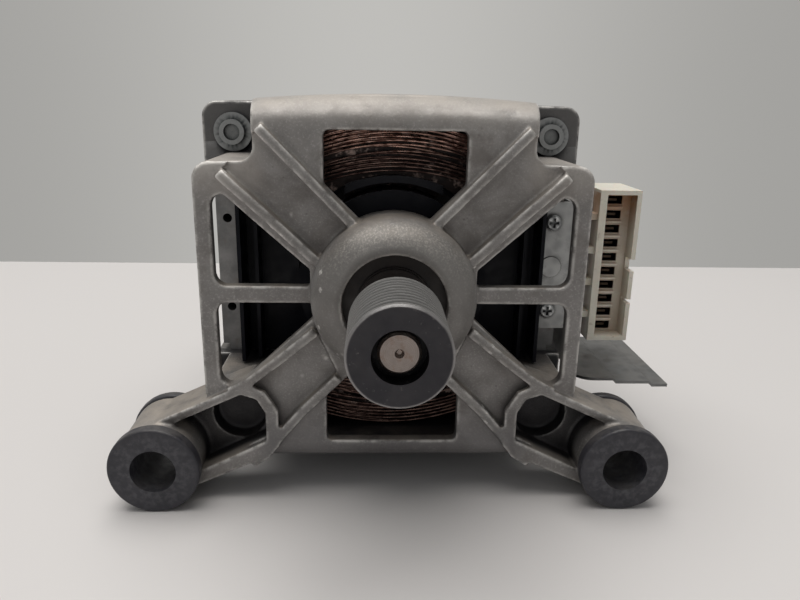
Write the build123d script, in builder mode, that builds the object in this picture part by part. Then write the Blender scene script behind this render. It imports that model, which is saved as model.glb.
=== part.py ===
from build123d import *
import math
import os

# Brushed two-pole motor of a washing machine, seen from its pulley end along +Y.
# Units are millimetres. X is to the right, Y runs to the rear, Z is up.
# The origin lies on the rotor axis, in the middle plane of the belt.

# Clearances
press_gap = 0.01
seat_gap = 0.05
running_gap = 0.08
soft_gap = 0.3
cut_over = 1.0

# Rotor, and how far the iron and the castings reach past its bore
rotor_d = 61.0
air_gap = 0.7
bracket_side_reach = 24.4
bracket_end_reach = 21.8
bore_d = rotor_d + 2 * air_gap
bracket_half_width = bore_d / 2 + bracket_side_reach
bracket_half_height = bore_d / 2 + bracket_end_reach

# Belt pulley
pulley_d = 24.5
pulley_length = 24.0
groove_count = 9
groove_pitch = 2.34
groove_depth = 1.8
groove_floor = 0.35
groove_flank_angle = 20.0
pulley_counterbore_d = 12.8
pulley_counterbore_depth = 5.0
pulley_edge_chamfer = 0.5
shaft_tip_recess = 2.6

# Shaft
shaft_end_d = 10.0
shaft_front_d = 15.0
shaft_core_d = 17.0
shaft_rear_d = 12.0
shaft_tail_d = 7.0
shaft_tip_chamfer = 0.6
centre_mark_d = 2.2

# Front bracket, the aluminium casting behind the pulley
belt_offset = 37.4
bracket_depth = 39.0
web_thickness = 4.0
bracket_wall = 3.6
crown_rise = 2.6
crown_height = bracket_half_height + crown_rise
crown_edge_rise = 0.9
crown_edge_height = bracket_half_height + crown_edge_rise
top_side_inset = 16.6
top_half_width = bracket_half_width - top_side_inset
top_shelf_inset = 15.6
top_shelf_height = bracket_half_height - top_shelf_inset
bottom_side_inset = 18.1
bottom_half_width = bracket_half_width - bottom_side_inset
low_shelf_inset = 22.0
low_shelf_drop = bracket_half_height - low_shelf_inset
notch_inner_radius = 4.0
notch_outer_radius = 5.0
top_edge_radius = 6.0
side_edge_radius = 2.4
rib_height = 2.2
rib_width = 2.8
channel_recess = 1.4

# Hub of the front bracket
hub_d = 47.2
hub_rise = 12.4
hub_dome_start = 1.5
hub_reach = 8.3
hub_face_d = 33.2
hub_opening_d = 29.0
hub_lip = 4.9
dome_bulge = 3.2

# Windows of the front bracket
end_window_half_width = 19.8
end_window_inset = 6.9
end_window_height = bracket_half_height - end_window_inset
end_window_shoulder = 31.5
side_window_inset = 4.7
side_window_reach = bracket_half_width - side_window_inset
side_window_top_inset = 9.0
side_window_top = top_shelf_height - side_window_top_inset
side_window_bottom_inset = 4.0
side_window_bottom = low_shelf_drop - side_window_bottom_inset
bar_half_height = 2.55
window_corner = 1.6
window_wide_corner = 3.2

# Lower lugs and their bushes
lug_overhang = 14.4
bush_x = bracket_half_width + lug_overhang
lug_lift = 1.5
bush_drop = bracket_half_height - lug_lift
bush_flange_d = 26.8
bush_hole_d = 13.4
bush_body_d = 18.8
bush_front_flange = 4.1
bush_rear_flange = 3.5
bush_edge_radius = 0.8
lug_front_proud = 5.0
lug_back_depth = 15.0
lug_front_d = 24.6
lug_back_d = 25.6
lug_wall = 3.4
lug_slope = 23.7
pocket_depth = 8.0
access_hole_d = 16.4
access_hole_inset = 22.8
access_hole_x = bush_x - access_hole_inset
access_hole_lift = 10.9
access_hole_drop = bush_drop - access_hole_lift
access_hole_floor = 1.6

# Corner ears and through bolts
ear_overhang = 4.6
ear_half_width = bracket_half_width + ear_overhang
ear_half_height = bracket_half_height
ear_thickness = 3.8
ear_corner_radius = 5.0
bolt_side_inset = 9.8
bolt_x = ear_half_width - bolt_side_inset
bolt_end_inset = 9.4
bolt_z = ear_half_height - bolt_end_inset
bolt_d = 5.0
bolt_head_d = 9.0
bolt_head_height = 4.0
nut_flange_d = 12.0
nut_flange_thickness = 1.2
nut_collar_d = 7.8
nut_collar_height = 2.2
bolt_tip_recess = 1.4

# Stator core and rotor
core_length = 48.0
core_side_inset = 0.4
core_half_width = ear_half_width - core_side_inset
core_half_height = bracket_half_height
core_corner_radius = 5.0
core_side_thickness = 9.2
core_back_thickness = 10.0
core_inner_half_width = core_half_width - core_side_thickness
core_inner_half_height = core_half_height - core_back_thickness
core_inner_corner = 14.0
side_recess = 1.6
side_notch = 2.2
pole_shoe = 4.2
pole_shoe_half_angle = 62.0
pole_neck_half_width = 20.0
strip_hole_inset = 5.2
strip_hole_x = core_half_width - strip_hole_inset
strip_hole_z = 15.4
strip_hole_d = 3.0
strip_hole_depth = 12.0
rotor_slots = 24
rotor_slot_width = 3.4
rotor_slot_depth = 12.0
rotor_slot_mouth = 1.6
rotor_tooth_lip = 1.4
coil_end_inner_d = 26.0
coil_end_inset = 3.5
coil_end_outer_d = rotor_d - 2 * coil_end_inset
coil_end_front = 9.0
coil_end_rear = 10.0
commutator_d = 32.0
commutator_length = 18.0
commutator_gap = 12.0
commutator_bars = 24
commutator_slot_width = 0.6
commutator_slot_depth = 1.6
riser_height = 1.6
riser_length = 3.0

# Fan
fan_inset = 2.0
fan_d = rotor_d - 2 * fan_inset
fan_hub_d = 24.0
fan_disc = 1.6
fan_depth = 13.0
fan_front_gap = 4.4
fan_blades = 11
fan_blade_thickness = 1.8

# Front and rear bearings: bore, outer diameter, width, ball diameter, number of balls
front_bearing_size = (15.0, 35.0, 11.0, 5.94, 8)
rear_bearing_size = (12.0, 32.0, 10.0, 5.94, 7)
ring_shoulder = 0.26
seal_thickness = 0.8
seal_recess = 0.3
cage_thickness = 1.2
cage_margin = 0.9
circlip_thickness = 1.2
circlip_bite = 1.0
circlip_reach = 2.2
circlip_opening = 8.0
spacer_d = 19.8
spacer_thickness = 1.4

# Field windings, one wire in two layers round each pole
wire_d = 0.6
wire_gap = 0.45
turns_per_layer = 11
loose_turns = 5
loose_gap = 1.8
winding_side_gap = 0.4
winding_side_x = bore_d / 2 + winding_side_gap
winding_crown_gap = 2.3
winding_crown_z = bore_d / 2 + winding_crown_gap
winding_slope = 24.0
winding_corner = 6.0
winding_front_reach = 22.0
winding_rear_reach = 14.0
winding_lead_radius = 0.75
lead_front_gap = 9.0
winding_core_skirt = 0.7
winding_core_front_gap = 1.2

# Coil frames
frame_plate = 2.4
frame_overhang = 0.3
frame_arch_thickness = 1.5
frame_bore_d = bore_d - 2 * frame_overhang
frame_arch_d = frame_bore_d + 2 * frame_arch_thickness
frame_seat = 0.4
frame_half_width = core_inner_half_width - frame_seat
frame_half_height = 30.2
frame_end_margin = 1.6
frame_end_half_width = winding_side_x + frame_end_margin
frame_end_half_height = core_inner_half_height - frame_seat
frame_neck_half_width = 19.6
frame_arch_half_width = 26.0
frame_arch_reach = 16.0
frame_tongue_half_width = 14.5
frame_tongue_reach = 27.0
frame_lip_thickness = 2.2
frame_lip_rise = 0.5
frame_lip_height = frame_arch_d / 2 + frame_lip_rise
frame_lip_shoulder_drop = 2.4
frame_lip_shoulder = frame_arch_d / 2 - frame_lip_shoulder_drop
frame_passage_height = 24.4
side_wall_insets = (1.6, 6.4)
side_wall_places = [frame_half_width - inset for inset in side_wall_insets]
side_wall_reaches = (14.0, 10.0)
side_wall_thickness = 1.2

# Connector
connector_ways = 10
connector_pitch = 5.0
connector_gap = 9.6
connector_width = 14.0
connector_left_x = ear_half_width + connector_gap
connector_right_x = connector_left_x + connector_width
connector_half_height = 26.4
connector_set_back = 36.6
connector_depth = 22.0
connector_wall = 1.5
connector_left_wall = 2.4
connector_socket_depth = 6.0
slot_width = 5.9
slot_height = 2.8
slot_depth = 8.0
slot_margin = 1.2
slot_rib_height = 1.2
slot_rib_thickness = 0.7
slot_rib_width = 7.2
terminal_width = 2.8
terminal_thickness = 0.8
terminal_recess = 1.0
key_places = (0.8, -12.0)
key_widths = (4.2, 1.4)
key_depth = 5.0
connector_rib_places = (17.3, 5.6, -5.6, -17.3)
connector_rib_height = 2.2
connector_rib_length = 8.0
connector_rib_set_back = 2.0

# Connector bracket and cable guide
sheet = 1.5
bracket_plate_inset = 9.0
bracket_plate_left_x = ear_half_width - bracket_plate_inset
bracket_plate_overhang = 1.8
bracket_plate_right_x = ear_half_width + bracket_plate_overhang
bracket_plate_half_height = 22.2
bracket_plate_corner = 2.0
bracket_boss_inset = 3.6
bracket_boss_x = bracket_plate_left_x + bracket_boss_inset
bracket_boss_d = 7.0
bracket_boss_rise = 0.5
bracket_arm_length = 22.0
screw_head_d = 5.2
screw_head_height = 1.9
screw_slot_share = 0.62
screw_slot_width = 0.9
screw_slot_depth = 1.0
screw_d = 2.9
screw_length = 8.0
guide_drop = 34.4
guide_panels = (13.0, 12.4, 6.4)
guide_front = 21.5
guide_back = 66.0
guide_sheet = 1.0
guide_step = 1.1
guide_corner = 7.0
guide_outer_corner = 2.0
guide_flange_length = 18.0
guide_flange_start = 40.0

# Rear bracket
rear_depth = 43.0
rear_side_inset = 1.6
rear_half_width = bracket_half_width - rear_side_inset
rear_shelf_inset = 16.5
rear_shelf_height = bracket_half_height - rear_shelf_inset
rear_end_inset = 12.0
rear_end_half_width = rear_half_width - rear_end_inset
rear_end_gap = 0.4
rear_half_height = bracket_half_height - rear_end_gap
rear_corner_radius = 3.0
rear_wall = 3.2
rear_web = 4.0
rear_hub_d = 42.0
rear_hub_reach = 13.0
rear_foot_inset = 4.0
rear_foot_x = rear_end_half_width - rear_foot_inset
rear_foot_width = 16.0
rear_foot_length = 16.0
rear_foot_bore_d = 6.4
rear_window_inner_r = 25.0
rear_window_outer_r = 44.0
rear_window_angle = 50.0
rear_window_half_angle = 25.0
rear_side_window_half_height = 16.0
rear_side_window_start = 8.0
rear_side_window_end = 4.0
rear_lip_d = 23.0

# Brush gear
brush_thickness = 5.0
brush_width = 12.5
brush_length = 26.0
brush_gap = 0.05
brush_travel = 3.0
holder_wall = 1.6
holder_start_gap = 2.4
holder_end_inset = 1.6
holder_end_x = rear_half_width - holder_end_inset
holder_ear = 2.0
holder_ear_half_height = 13.0
holder_ear_width = 10.0
holder_screw_x = 36.0
holder_screw_z = 9.6
holder_post_d = 6.8
cap_thickness = 1.4
spring_d = 4.0
spring_hole_d = 2.4

# Speed sensor
magnet_d = 18.0
magnet_length = 6.0
magnet_gap = 2.0
tacho_coil_gap = 1.0
tacho_coil_wall = 4.0
tacho_cover_d = 34.0
tacho_cover_wall = 1.4
tacho_cover_depth = 11.0

# Thermal protector
protector_width = 5.0
protector_depth = 9.0
protector_height = 16.0

# Stations along Y, from the belt's middle plane
web_y = belt_offset
web_back_y = web_y + web_thickness
hub_face_y = web_y - hub_rise
hub_back_y = web_y + hub_reach
bearing_front_y = hub_face_y + hub_lip
core_front_y = web_y + bracket_depth
core_back_y = core_front_y + core_length
rear_web_y = core_back_y + rear_depth
commutator_front_y = core_back_y + commutator_gap
commutator_back_y = commutator_front_y + commutator_length
brush_y = commutator_front_y + riser_length + (commutator_length - riser_length) / 2
rear_bearing_front_y = rear_web_y + rear_web - rear_hub_reach
rear_bearing_back_y = rear_bearing_front_y + rear_bearing_size[2]
magnet_front_y = rear_web_y + rear_web + magnet_gap
pulley_front_y = -pulley_length / 2
pulley_back_y = pulley_length / 2
shaft_tip_y = pulley_front_y + shaft_tip_recess
shaft_tail_y = magnet_front_y + magnet_length

os.makedirs("parts", exist_ok=True)


def save(piece, name):
    piece.part.label = name
    export_step(piece.part, "parts/" + name + ".step")


def across(y):
    """Plane square to the rotor axis at y, with local x to the right and local y up."""
    return Plane.XZ.offset(-y)


def turned(profile):
    """Solid of revolution about the rotor axis from (radius, y) points."""
    with BuildPart() as body:
        with BuildSketch(Plane.XY):
            with BuildLine():
                Polyline(*profile, close=True)
            make_face()
        revolve(axis=Axis.Y)
    return body


def tube(y_start, y_end, inner_r, outer_r):
    return turned([(inner_r, y_start), (outer_r, y_start), (outer_r, y_end), (inner_r, y_end)])


# Pulley
def groove_profile():
    """Outline points of the ribbed rim from front to rear."""
    rim_r = pulley_d / 2
    root_r = rim_r - groove_depth
    half_floor = groove_floor / 2
    half_mouth = half_floor + groove_depth * math.tan(math.radians(groove_flank_angle))
    points = []
    for index in range(groove_count):
        centre = (index - (groove_count - 1) / 2) * groove_pitch
        points += [
            (rim_r, centre - half_mouth),
            (root_r, centre - half_floor),
            (root_r, centre + half_floor),
            (rim_r, centre + half_mouth),
        ]
    return points


pulley_r = pulley_d / 2
counterbore_y = pulley_front_y + pulley_counterbore_depth
pulley = turned(
    [
        (shaft_end_d / 2 + press_gap, counterbore_y),
        (pulley_counterbore_d / 2, counterbore_y),
        (pulley_counterbore_d / 2, pulley_front_y),
        (pulley_r - pulley_edge_chamfer, pulley_front_y),
        (pulley_r, pulley_front_y + pulley_edge_chamfer),
    ]
    + groove_profile()
    + [
        (pulley_r, pulley_back_y - pulley_edge_chamfer),
        (pulley_r - pulley_edge_chamfer, pulley_back_y),
        (shaft_end_d / 2 + press_gap, pulley_back_y),
    ]
)
save(pulley, "pulley")

# Shaft
shaft_core_start_y = core_front_y - coil_end_front
shaft = turned(
    [
        (0, shaft_tip_y),
        (shaft_end_d / 2 - shaft_tip_chamfer, shaft_tip_y),
        (shaft_end_d / 2, shaft_tip_y + shaft_tip_chamfer),
        (shaft_end_d / 2, pulley_back_y),
        (shaft_front_d / 2, pulley_back_y),
        (shaft_front_d / 2, shaft_core_start_y),
        (shaft_core_d / 2, shaft_core_start_y),
        (shaft_core_d / 2, commutator_back_y),
        (shaft_rear_d / 2, commutator_back_y),
        (shaft_rear_d / 2, rear_web_y + rear_web),
        (shaft_tail_d / 2, rear_web_y + rear_web),
        (shaft_tail_d / 2, shaft_tail_y),
        (0, shaft_tail_y),
    ]
)
with BuildPart() as shaft_marked:
    add(shaft.part)
    with BuildSketch(across(shaft_tip_y)):
        Circle(centre_mark_d / 2)
    extrude(amount=-centre_mark_d / 2, taper=math.degrees(math.atan(1 / 2)), mode=Mode.SUBTRACT)
save(shaft_marked, "shaft")

# Bearings
def make_bearing(prefix, size, front_y):
    bore_d, outer_d, width, ball_d, ball_count = size
    pitch_r = (bore_d + outer_d) / 4
    back_y = front_y + width
    middle_y = front_y + width / 2
    inner_land_r = pitch_r - ball_d * (1 - ring_shoulder) / 2
    outer_land_r = pitch_r + ball_d * (1 - ring_shoulder) / 2
    groove_r = ball_d / 2 + running_gap
    seal_front_y = front_y + seal_recess
    seal_back_y = back_y - seal_recess

    for part_name, low_r, high_r in (
        ("outer_ring", outer_land_r, outer_d / 2 - press_gap),
        ("inner_ring", bore_d / 2 + press_gap, inner_land_r),
    ):
        with BuildPart() as ring:
            with BuildSketch(Plane.XY):
                with BuildLine():
                    Polyline(
                        (low_r, front_y), (high_r, front_y), (high_r, back_y), (low_r, back_y), close=True
                    )
                make_face()
                with Locations((pitch_r, middle_y)):
                    Circle(groove_r, mode=Mode.SUBTRACT)
            revolve(axis=Axis.Y)
        save(ring, prefix + "_bearing_" + part_name)

    with BuildPart() as balls:
        with Locations(across(middle_y)):
            with PolarLocations(pitch_r, ball_count):
                Sphere(ball_d / 2)
    save(balls, prefix + "_bearing_balls")

    cage_half_width = ball_d / 2 + cage_margin
    with BuildPart() as cage:
        add(
            tube(
                middle_y - cage_half_width,
                middle_y + cage_half_width,
                pitch_r - cage_thickness / 2,
                pitch_r + cage_thickness / 2,
            ).part
        )
        with Locations(across(middle_y)):
            with PolarLocations(pitch_r, ball_count):
                Cylinder(
                    ball_d / 2 + running_gap, 2 * cage_thickness, rotation=(0, 90, 0), mode=Mode.SUBTRACT
                )
    save(cage, prefix + "_bearing_cage")

    seal_low_r = inner_land_r + 2 * seat_gap
    seal_high_r = outer_land_r - press_gap
    with BuildPart() as seals:
        add(tube(seal_front_y, seal_front_y + seal_thickness, seal_low_r, seal_high_r).part)
        add(tube(seal_back_y - seal_thickness, seal_back_y, seal_low_r, seal_high_r).part)
    save(seals, prefix + "_bearing_seals")


make_bearing("front", front_bearing_size, bearing_front_y)
make_bearing("rear", rear_bearing_size, rear_bearing_front_y)

bearing_spacer = tube(
    bearing_front_y - spacer_thickness, bearing_front_y, shaft_front_d / 2 + press_gap, spacer_d / 2
)
save(bearing_spacer, "bearing_spacer")

# Retaining ring behind the front bearing
bearing_seat_r = front_bearing_size[1] / 2
circlip_y = bearing_front_y + front_bearing_size[2] + seat_gap
groove_d = 2 * (bearing_seat_r + circlip_bite)
with BuildPart() as bearing_circlip:
    with BuildSketch(across(circlip_y)):
        Circle(groove_d / 2 - seat_gap)
        Circle(bearing_seat_r - circlip_reach, mode=Mode.SUBTRACT)
        with Locations((0, -bearing_seat_r)):
            Rectangle(circlip_opening, 2 * circlip_opening, mode=Mode.SUBTRACT)
    extrude(amount=-circlip_thickness)
save(bearing_circlip, "bearing_circlip")


# Front bracket
def mirrored(points):
    """Right half of a closed outline, from top to bottom, continued by its mirror image."""
    return points + [(-x, z) for x, z in reversed(points)]


def cross_outline(inset):
    """Outline of the bracket's box, narrower above and below than in its middle."""
    low_z = -low_shelf_drop - bracket_wall
    return mirrored(
        [
            (top_half_width - inset, crown_edge_height - inset),
            (top_half_width - inset, top_shelf_height - inset),
            (bracket_half_width - inset, top_shelf_height - inset),
            (bracket_half_width - inset, low_z + inset),
            (bottom_half_width - inset, low_z + inset),
            (bottom_half_width - inset, -bracket_half_height + inset),
        ]
    )


def cross_face(inset, rounding):
    """Face of the cross outline with a crowned top and rounded corners."""
    points = cross_outline(inset)
    with BuildSketch(Plane.XY) as face:
        with BuildLine():
            Polyline(*points)
            ThreePointArc(points[-1], (0, crown_height - inset), points[0])
        make_face()
        if rounding:
            side = face.vertices().filter_by(lambda v: abs(v.X) > bracket_half_width - inset - seat_gap)
            fillet(side, notch_outer_radius)
            inner = face.vertices().filter_by(
                lambda v: abs(v.Z) < seat_gap
                and abs(abs(v.X) - (top_half_width - inset)) < seat_gap
                and abs(v.Y - (top_shelf_height - inset)) < seat_gap
            )
            fillet(inner, notch_inner_radius)
    return face.sketch


# Points on the diagonal arms, as shares of the bracket's half width
upper_inner_rib_shares = [(0.189, 0.351), (0.665, 0.838)]
upper_outer_rib_shares = [(0.392, 0.180), (0.638, 0.414), (0.800, 0.560), (0.862, 0.620)]
lower_outer_rib_shares = [(0.405, -0.189), (0.594, -0.345), (0.764, -0.477), (0.865, -0.530)]
lower_inner_rib_shares = [(0.288, -0.450), (0.482, -0.642), (0.612, -0.797), (0.683, -0.899), (0.764, -0.953)]
upper_window_shares = [(0.430, 0.133), (0.849, 0.511)]
lower_window_shares = [(0.418, -0.126), (0.719, -0.410), (0.827, -0.512)]
arm_root_shares = [(0.863, -0.518), (0.773, -0.486), (0.680, -0.530), (0.612, -0.640), (0.612, -0.850)]
pocket_root_shares = [(0.808, -0.545), (0.725, -0.572), (0.680, -0.652), (0.680, -0.815)]


def scaled(shares, side=1):
    return [(side * x * bracket_half_width, z * bracket_half_width) for x, z in shares]


def rib_line(shares, side):
    with BuildLine(Plane.XY) as path:
        Polyline(*scaled(shares, side))
    return path.line


slope = math.radians(lug_slope)
lug_r = lug_front_d / 2


def lug_edge(x, offset):
    """Height of the lug arm's straight edge at x, offset from the bush axis square to the arm."""
    return -bush_drop + offset / math.cos(slope) - (x - bush_x) * math.tan(slope)


def lug_tangent(side, offset):
    return (side * (bush_x + offset * math.sin(slope)), -bush_drop + offset * math.cos(slope))


arm_back_y = web_y + lug_back_depth
lug_front_y = web_y - lug_front_proud
barrel_length = arm_back_y - lug_front_y
barrel_flare = math.degrees(math.atan((lug_back_d - lug_front_d) / 2 / barrel_length))
ear_front_y = core_front_y - ear_thickness

with BuildPart() as front_bracket:
    # Box with rounded front edges, hollow behind the web
    with BuildSketch(across(web_y)):
        add(cross_face(0, True))
    extrude(amount=-bracket_depth)
    front_edges = front_bracket.faces().sort_by(Axis.Y)[0].edges()
    long_edges = front_edges.filter_by(
        lambda e: abs(e.center().Z) > top_shelf_height + notch_inner_radius and e.length > top_half_width
    )
    fillet(long_edges, top_edge_radius)
    with BuildSketch(across(web_back_y)):
        add(cross_face(bracket_wall, False))
    extrude(amount=-(bracket_depth - web_thickness), mode=Mode.SUBTRACT)
    # Open sides behind the side bars
    open_top = side_window_top
    open_bottom = -low_shelf_drop
    with BuildSketch(across(web_back_y)):
        with Locations((0, (open_top + open_bottom) / 2)):
            Rectangle(2 * bracket_half_width + 2 * cut_over, open_top - open_bottom)
    extrude(amount=-(bracket_depth - web_thickness), mode=Mode.SUBTRACT)

    # Lower lug arms with their barrels
    for side in (1, -1):
        with BuildSketch(across(web_y - rib_height)):
            with BuildLine():
                Polyline(
                    *scaled(arm_root_shares, side),
                    (side * bottom_half_width, lug_edge(bottom_half_width, -lug_r)),
                    lug_tangent(side, -lug_r),
                    lug_tangent(side, lug_r - bush_edge_radius),
                    close=True,
                )
            make_face()
        extrude(amount=-(lug_back_depth + rib_height))
        with BuildSketch(across(web_y - rib_height)):
            with BuildLine():
                Polyline(
                    *scaled(pocket_root_shares, side),
                    (side * bush_x, lug_edge(bush_x, -lug_r + lug_wall)),
                    (side * bush_x, lug_edge(bush_x, lug_r - lug_wall)),
                    close=True,
                )
            make_face()
        extrude(amount=-(pocket_depth + rib_height), mode=Mode.SUBTRACT)
        with BuildSketch(across(web_y)):
            with Locations((side * access_hole_x, -access_hole_drop)):
                Circle(access_hole_d / 2)
        extrude(amount=-(lug_back_depth - access_hole_floor), mode=Mode.SUBTRACT)
        with BuildSketch(across(lug_front_y)):
            with Locations((side * bush_x, -bush_drop)):
                Circle(lug_front_d / 2)
        extrude(amount=-barrel_length, taper=-barrel_flare)

    # Windows through the web
    with BuildSketch(across(web_y)) as windows:
        for upward in (1, -1):
            with BuildLine():
                Polyline(
                    (-end_window_half_width, upward * end_window_height),
                    (end_window_half_width, upward * end_window_height),
                    (end_window_half_width, upward * end_window_shoulder),
                    (0, upward * (end_window_shoulder - end_window_half_width)),
                    (-end_window_half_width, upward * end_window_shoulder),
                    close=True,
                )
            make_face()
        for side in (1, -1):
            with BuildLine():
                Polyline(
                    *scaled(upper_window_shares, side),
                    (side * side_window_reach, side_window_top),
                    (side * side_window_reach, bar_half_height),
                    (side * upper_window_shares[0][0] * bracket_half_width, bar_half_height),
                    close=True,
                )
            make_face()
            with BuildLine():
                Polyline(
                    *scaled(lower_window_shares, side),
                    (side * side_window_reach, -side_window_bottom),
                    (side * side_window_reach, -bar_half_height),
                    (side * lower_window_shares[0][0] * bracket_half_width, -bar_half_height),
                    close=True,
                )
            make_face()
        fillet(
            windows.vertices().filter_by(lambda v: abs(abs(v.X) - end_window_half_width) < seat_gap),
            window_corner,
        )
        fillet(
            windows.vertices().filter_by(lambda v: abs(abs(v.X) - side_window_reach) < seat_gap),
            window_wide_corner,
        )
    extrude(amount=-web_thickness, mode=Mode.SUBTRACT)

    # Channel floors between the ribs
    for side in (1, -1):
        with BuildSketch(across(web_y)):
            with BuildLine():
                Polyline(
                    *scaled(upper_inner_rib_shares, side),
                    *scaled(reversed(upper_outer_rib_shares), side),
                    close=True,
                )
            make_face()
            with BuildLine():
                Polyline(
                    *scaled(lower_inner_rib_shares, side),
                    *scaled(reversed(lower_outer_rib_shares), side),
                    close=True,
                )
            make_face()
        extrude(amount=-channel_recess, mode=Mode.SUBTRACT)
    # Raised ribs along the channels
    for side in (1, -1):
        for shares in (
            upper_inner_rib_shares,
            upper_outer_rib_shares,
            lower_outer_rib_shares,
            lower_inner_rib_shares,
        ):
            with BuildSketch(across(web_y - rib_height)):
                add(trace(rib_line(shares, side), rib_width))
            extrude(amount=-(rib_height + web_thickness - cut_over))

    # Corner ears on the stator face
    with BuildSketch(across(ear_front_y)):
        for side in (1, -1):
            for upward in (1, -1):
                inner_x = bottom_half_width - bracket_wall
                inner_z = top_shelf_height - bracket_wall if upward > 0 else low_shelf_drop
                with Locations(
                    (side * (inner_x + ear_half_width) / 2, upward * (inner_z + ear_half_height) / 2)
                ):
                    Rectangle(ear_half_width - inner_x, ear_half_height - inner_z)
    extrude(amount=-ear_thickness)
    ear_edges = front_bracket.edges().filter_by(Axis.Y).filter_by(
        lambda e: abs(abs(e.center().X) - ear_half_width) < seat_gap
        and abs(abs(e.center().Z) - ear_half_height) < seat_gap
    )
    fillet(ear_edges, ear_corner_radius)
    with BuildSketch(across(ear_front_y)):
        with GridLocations(2 * bolt_x, 2 * bolt_z, 2, 2):
            Circle(bolt_d / 2 + running_gap)
    extrude(amount=-ear_thickness, mode=Mode.SUBTRACT)

    # Hub with its domed front
    hub_r = hub_d / 2
    dome_base_y = web_y - hub_dome_start
    with BuildSketch(Plane.XY):
        with BuildLine():
            Polyline((0, hub_face_y), (hub_face_d / 2, hub_face_y))
            ThreePointArc(
                (hub_face_d / 2, hub_face_y),
                ((hub_face_d / 2 + hub_r) / 2 + dome_bulge / 2, (hub_face_y + dome_base_y) / 2 - dome_bulge / 2),
                (hub_r, dome_base_y),
            )
            Polyline((hub_r, dome_base_y), (hub_r, hub_back_y), (0, hub_back_y), (0, hub_face_y))
        make_face()
    revolve(axis=Axis.Y)
    with BuildSketch(across(hub_face_y)):
        Circle(hub_opening_d / 2)
    extrude(amount=-(hub_rise + hub_reach), mode=Mode.SUBTRACT)
    with BuildSketch(across(bearing_front_y)):
        Circle(bearing_seat_r)
    extrude(amount=-(hub_back_y - bearing_front_y), mode=Mode.SUBTRACT)
    with BuildSketch(across(circlip_y)):
        Circle(groove_d / 2)
    extrude(amount=-(circlip_thickness + seat_gap), mode=Mode.SUBTRACT)

    # Bores of the lug barrels
    with BuildSketch(across(lug_front_y)):
        with Locations((bush_x, -bush_drop), (-bush_x, -bush_drop)):
            Circle(bush_body_d / 2 + seat_gap)
    extrude(amount=-(lug_front_proud + lug_back_depth), mode=Mode.SUBTRACT)
save(front_bracket, "front_bracket")

# Mount bushes
lug_length = lug_front_proud + lug_back_depth
for name, side in (("left_mount_bush", -1), ("right_mount_bush", 1)):
    with BuildPart() as bush:
        with BuildSketch(across(lug_front_y - bush_front_flange)):
            with Locations((side * bush_x, -bush_drop)):
                Circle(bush_flange_d / 2)
        extrude(amount=-bush_front_flange)
        with BuildSketch(across(lug_front_y)):
            with Locations((side * bush_x, -bush_drop)):
                Circle(bush_body_d / 2)
        extrude(amount=-lug_length)
        with BuildSketch(across(arm_back_y)):
            with Locations((side * bush_x, -bush_drop)):
                Circle(bush_flange_d / 2)
        extrude(amount=-bush_rear_flange)
        rims = bush.edges().filter_by(GeomType.CIRCLE).filter_by(
            lambda e: abs(e.radius - bush_flange_d / 2) < seat_gap
        )
        fillet(rims, bush_edge_radius)
        with BuildSketch(across(lug_front_y - bush_front_flange)):
            with Locations((side * bush_x, -bush_drop)):
                Circle(bush_hole_d / 2)
        extrude(amount=-(bush_front_flange + lug_length + bush_rear_flange), mode=Mode.SUBTRACT)
    save(bush, name)

# Stator core
with BuildPart() as stator_core:
    with BuildSketch(across(core_front_y)):
        RectangleRounded(2 * core_half_width, 2 * core_half_height, core_corner_radius)
        RectangleRounded(
            2 * core_inner_half_width, 2 * core_inner_half_height, core_inner_corner, mode=Mode.SUBTRACT
        )
        with Locations((core_half_width, 0), (-core_half_width, 0)):
            Rectangle(2 * side_recess, 2 * low_shelf_drop, mode=Mode.SUBTRACT)
        with GridLocations(2 * (core_half_width - side_recess), 2 * low_shelf_drop - side_notch, 2, 2):
            Rectangle(2 * side_notch, side_notch, mode=Mode.SUBTRACT)
        shoe_r = bore_d / 2 + pole_shoe
        for upward in (1, -1):
            with Locations((0, upward * (bore_d / 2 + core_inner_half_height + cut_over) / 2)):
                Rectangle(2 * pole_neck_half_width, core_inner_half_height + cut_over - bore_d / 2)
            with BuildLine():
                CenterArc(
                    (0, 0), shoe_r, upward * 90 - pole_shoe_half_angle, 2 * pole_shoe_half_angle
                )
                start = PolarLine((0, 0), shoe_r, upward * 90 - pole_shoe_half_angle)
                finish = PolarLine((0, 0), shoe_r, upward * 90 + pole_shoe_half_angle)
            make_face()
        Circle(bore_d / 2, mode=Mode.SUBTRACT)
        with GridLocations(2 * bolt_x, 2 * bolt_z, 2, 2):
            Circle(bolt_d / 2 + running_gap, mode=Mode.SUBTRACT)
    extrude(amount=-core_length)
    with BuildSketch(across(core_front_y)):
        with GridLocations(2 * strip_hole_x, 2 * strip_hole_z, 2, 2):
            Circle(strip_hole_d / 2)
    extrude(amount=-strip_hole_depth, mode=Mode.SUBTRACT)
save(stator_core, "stator_core")

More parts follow.
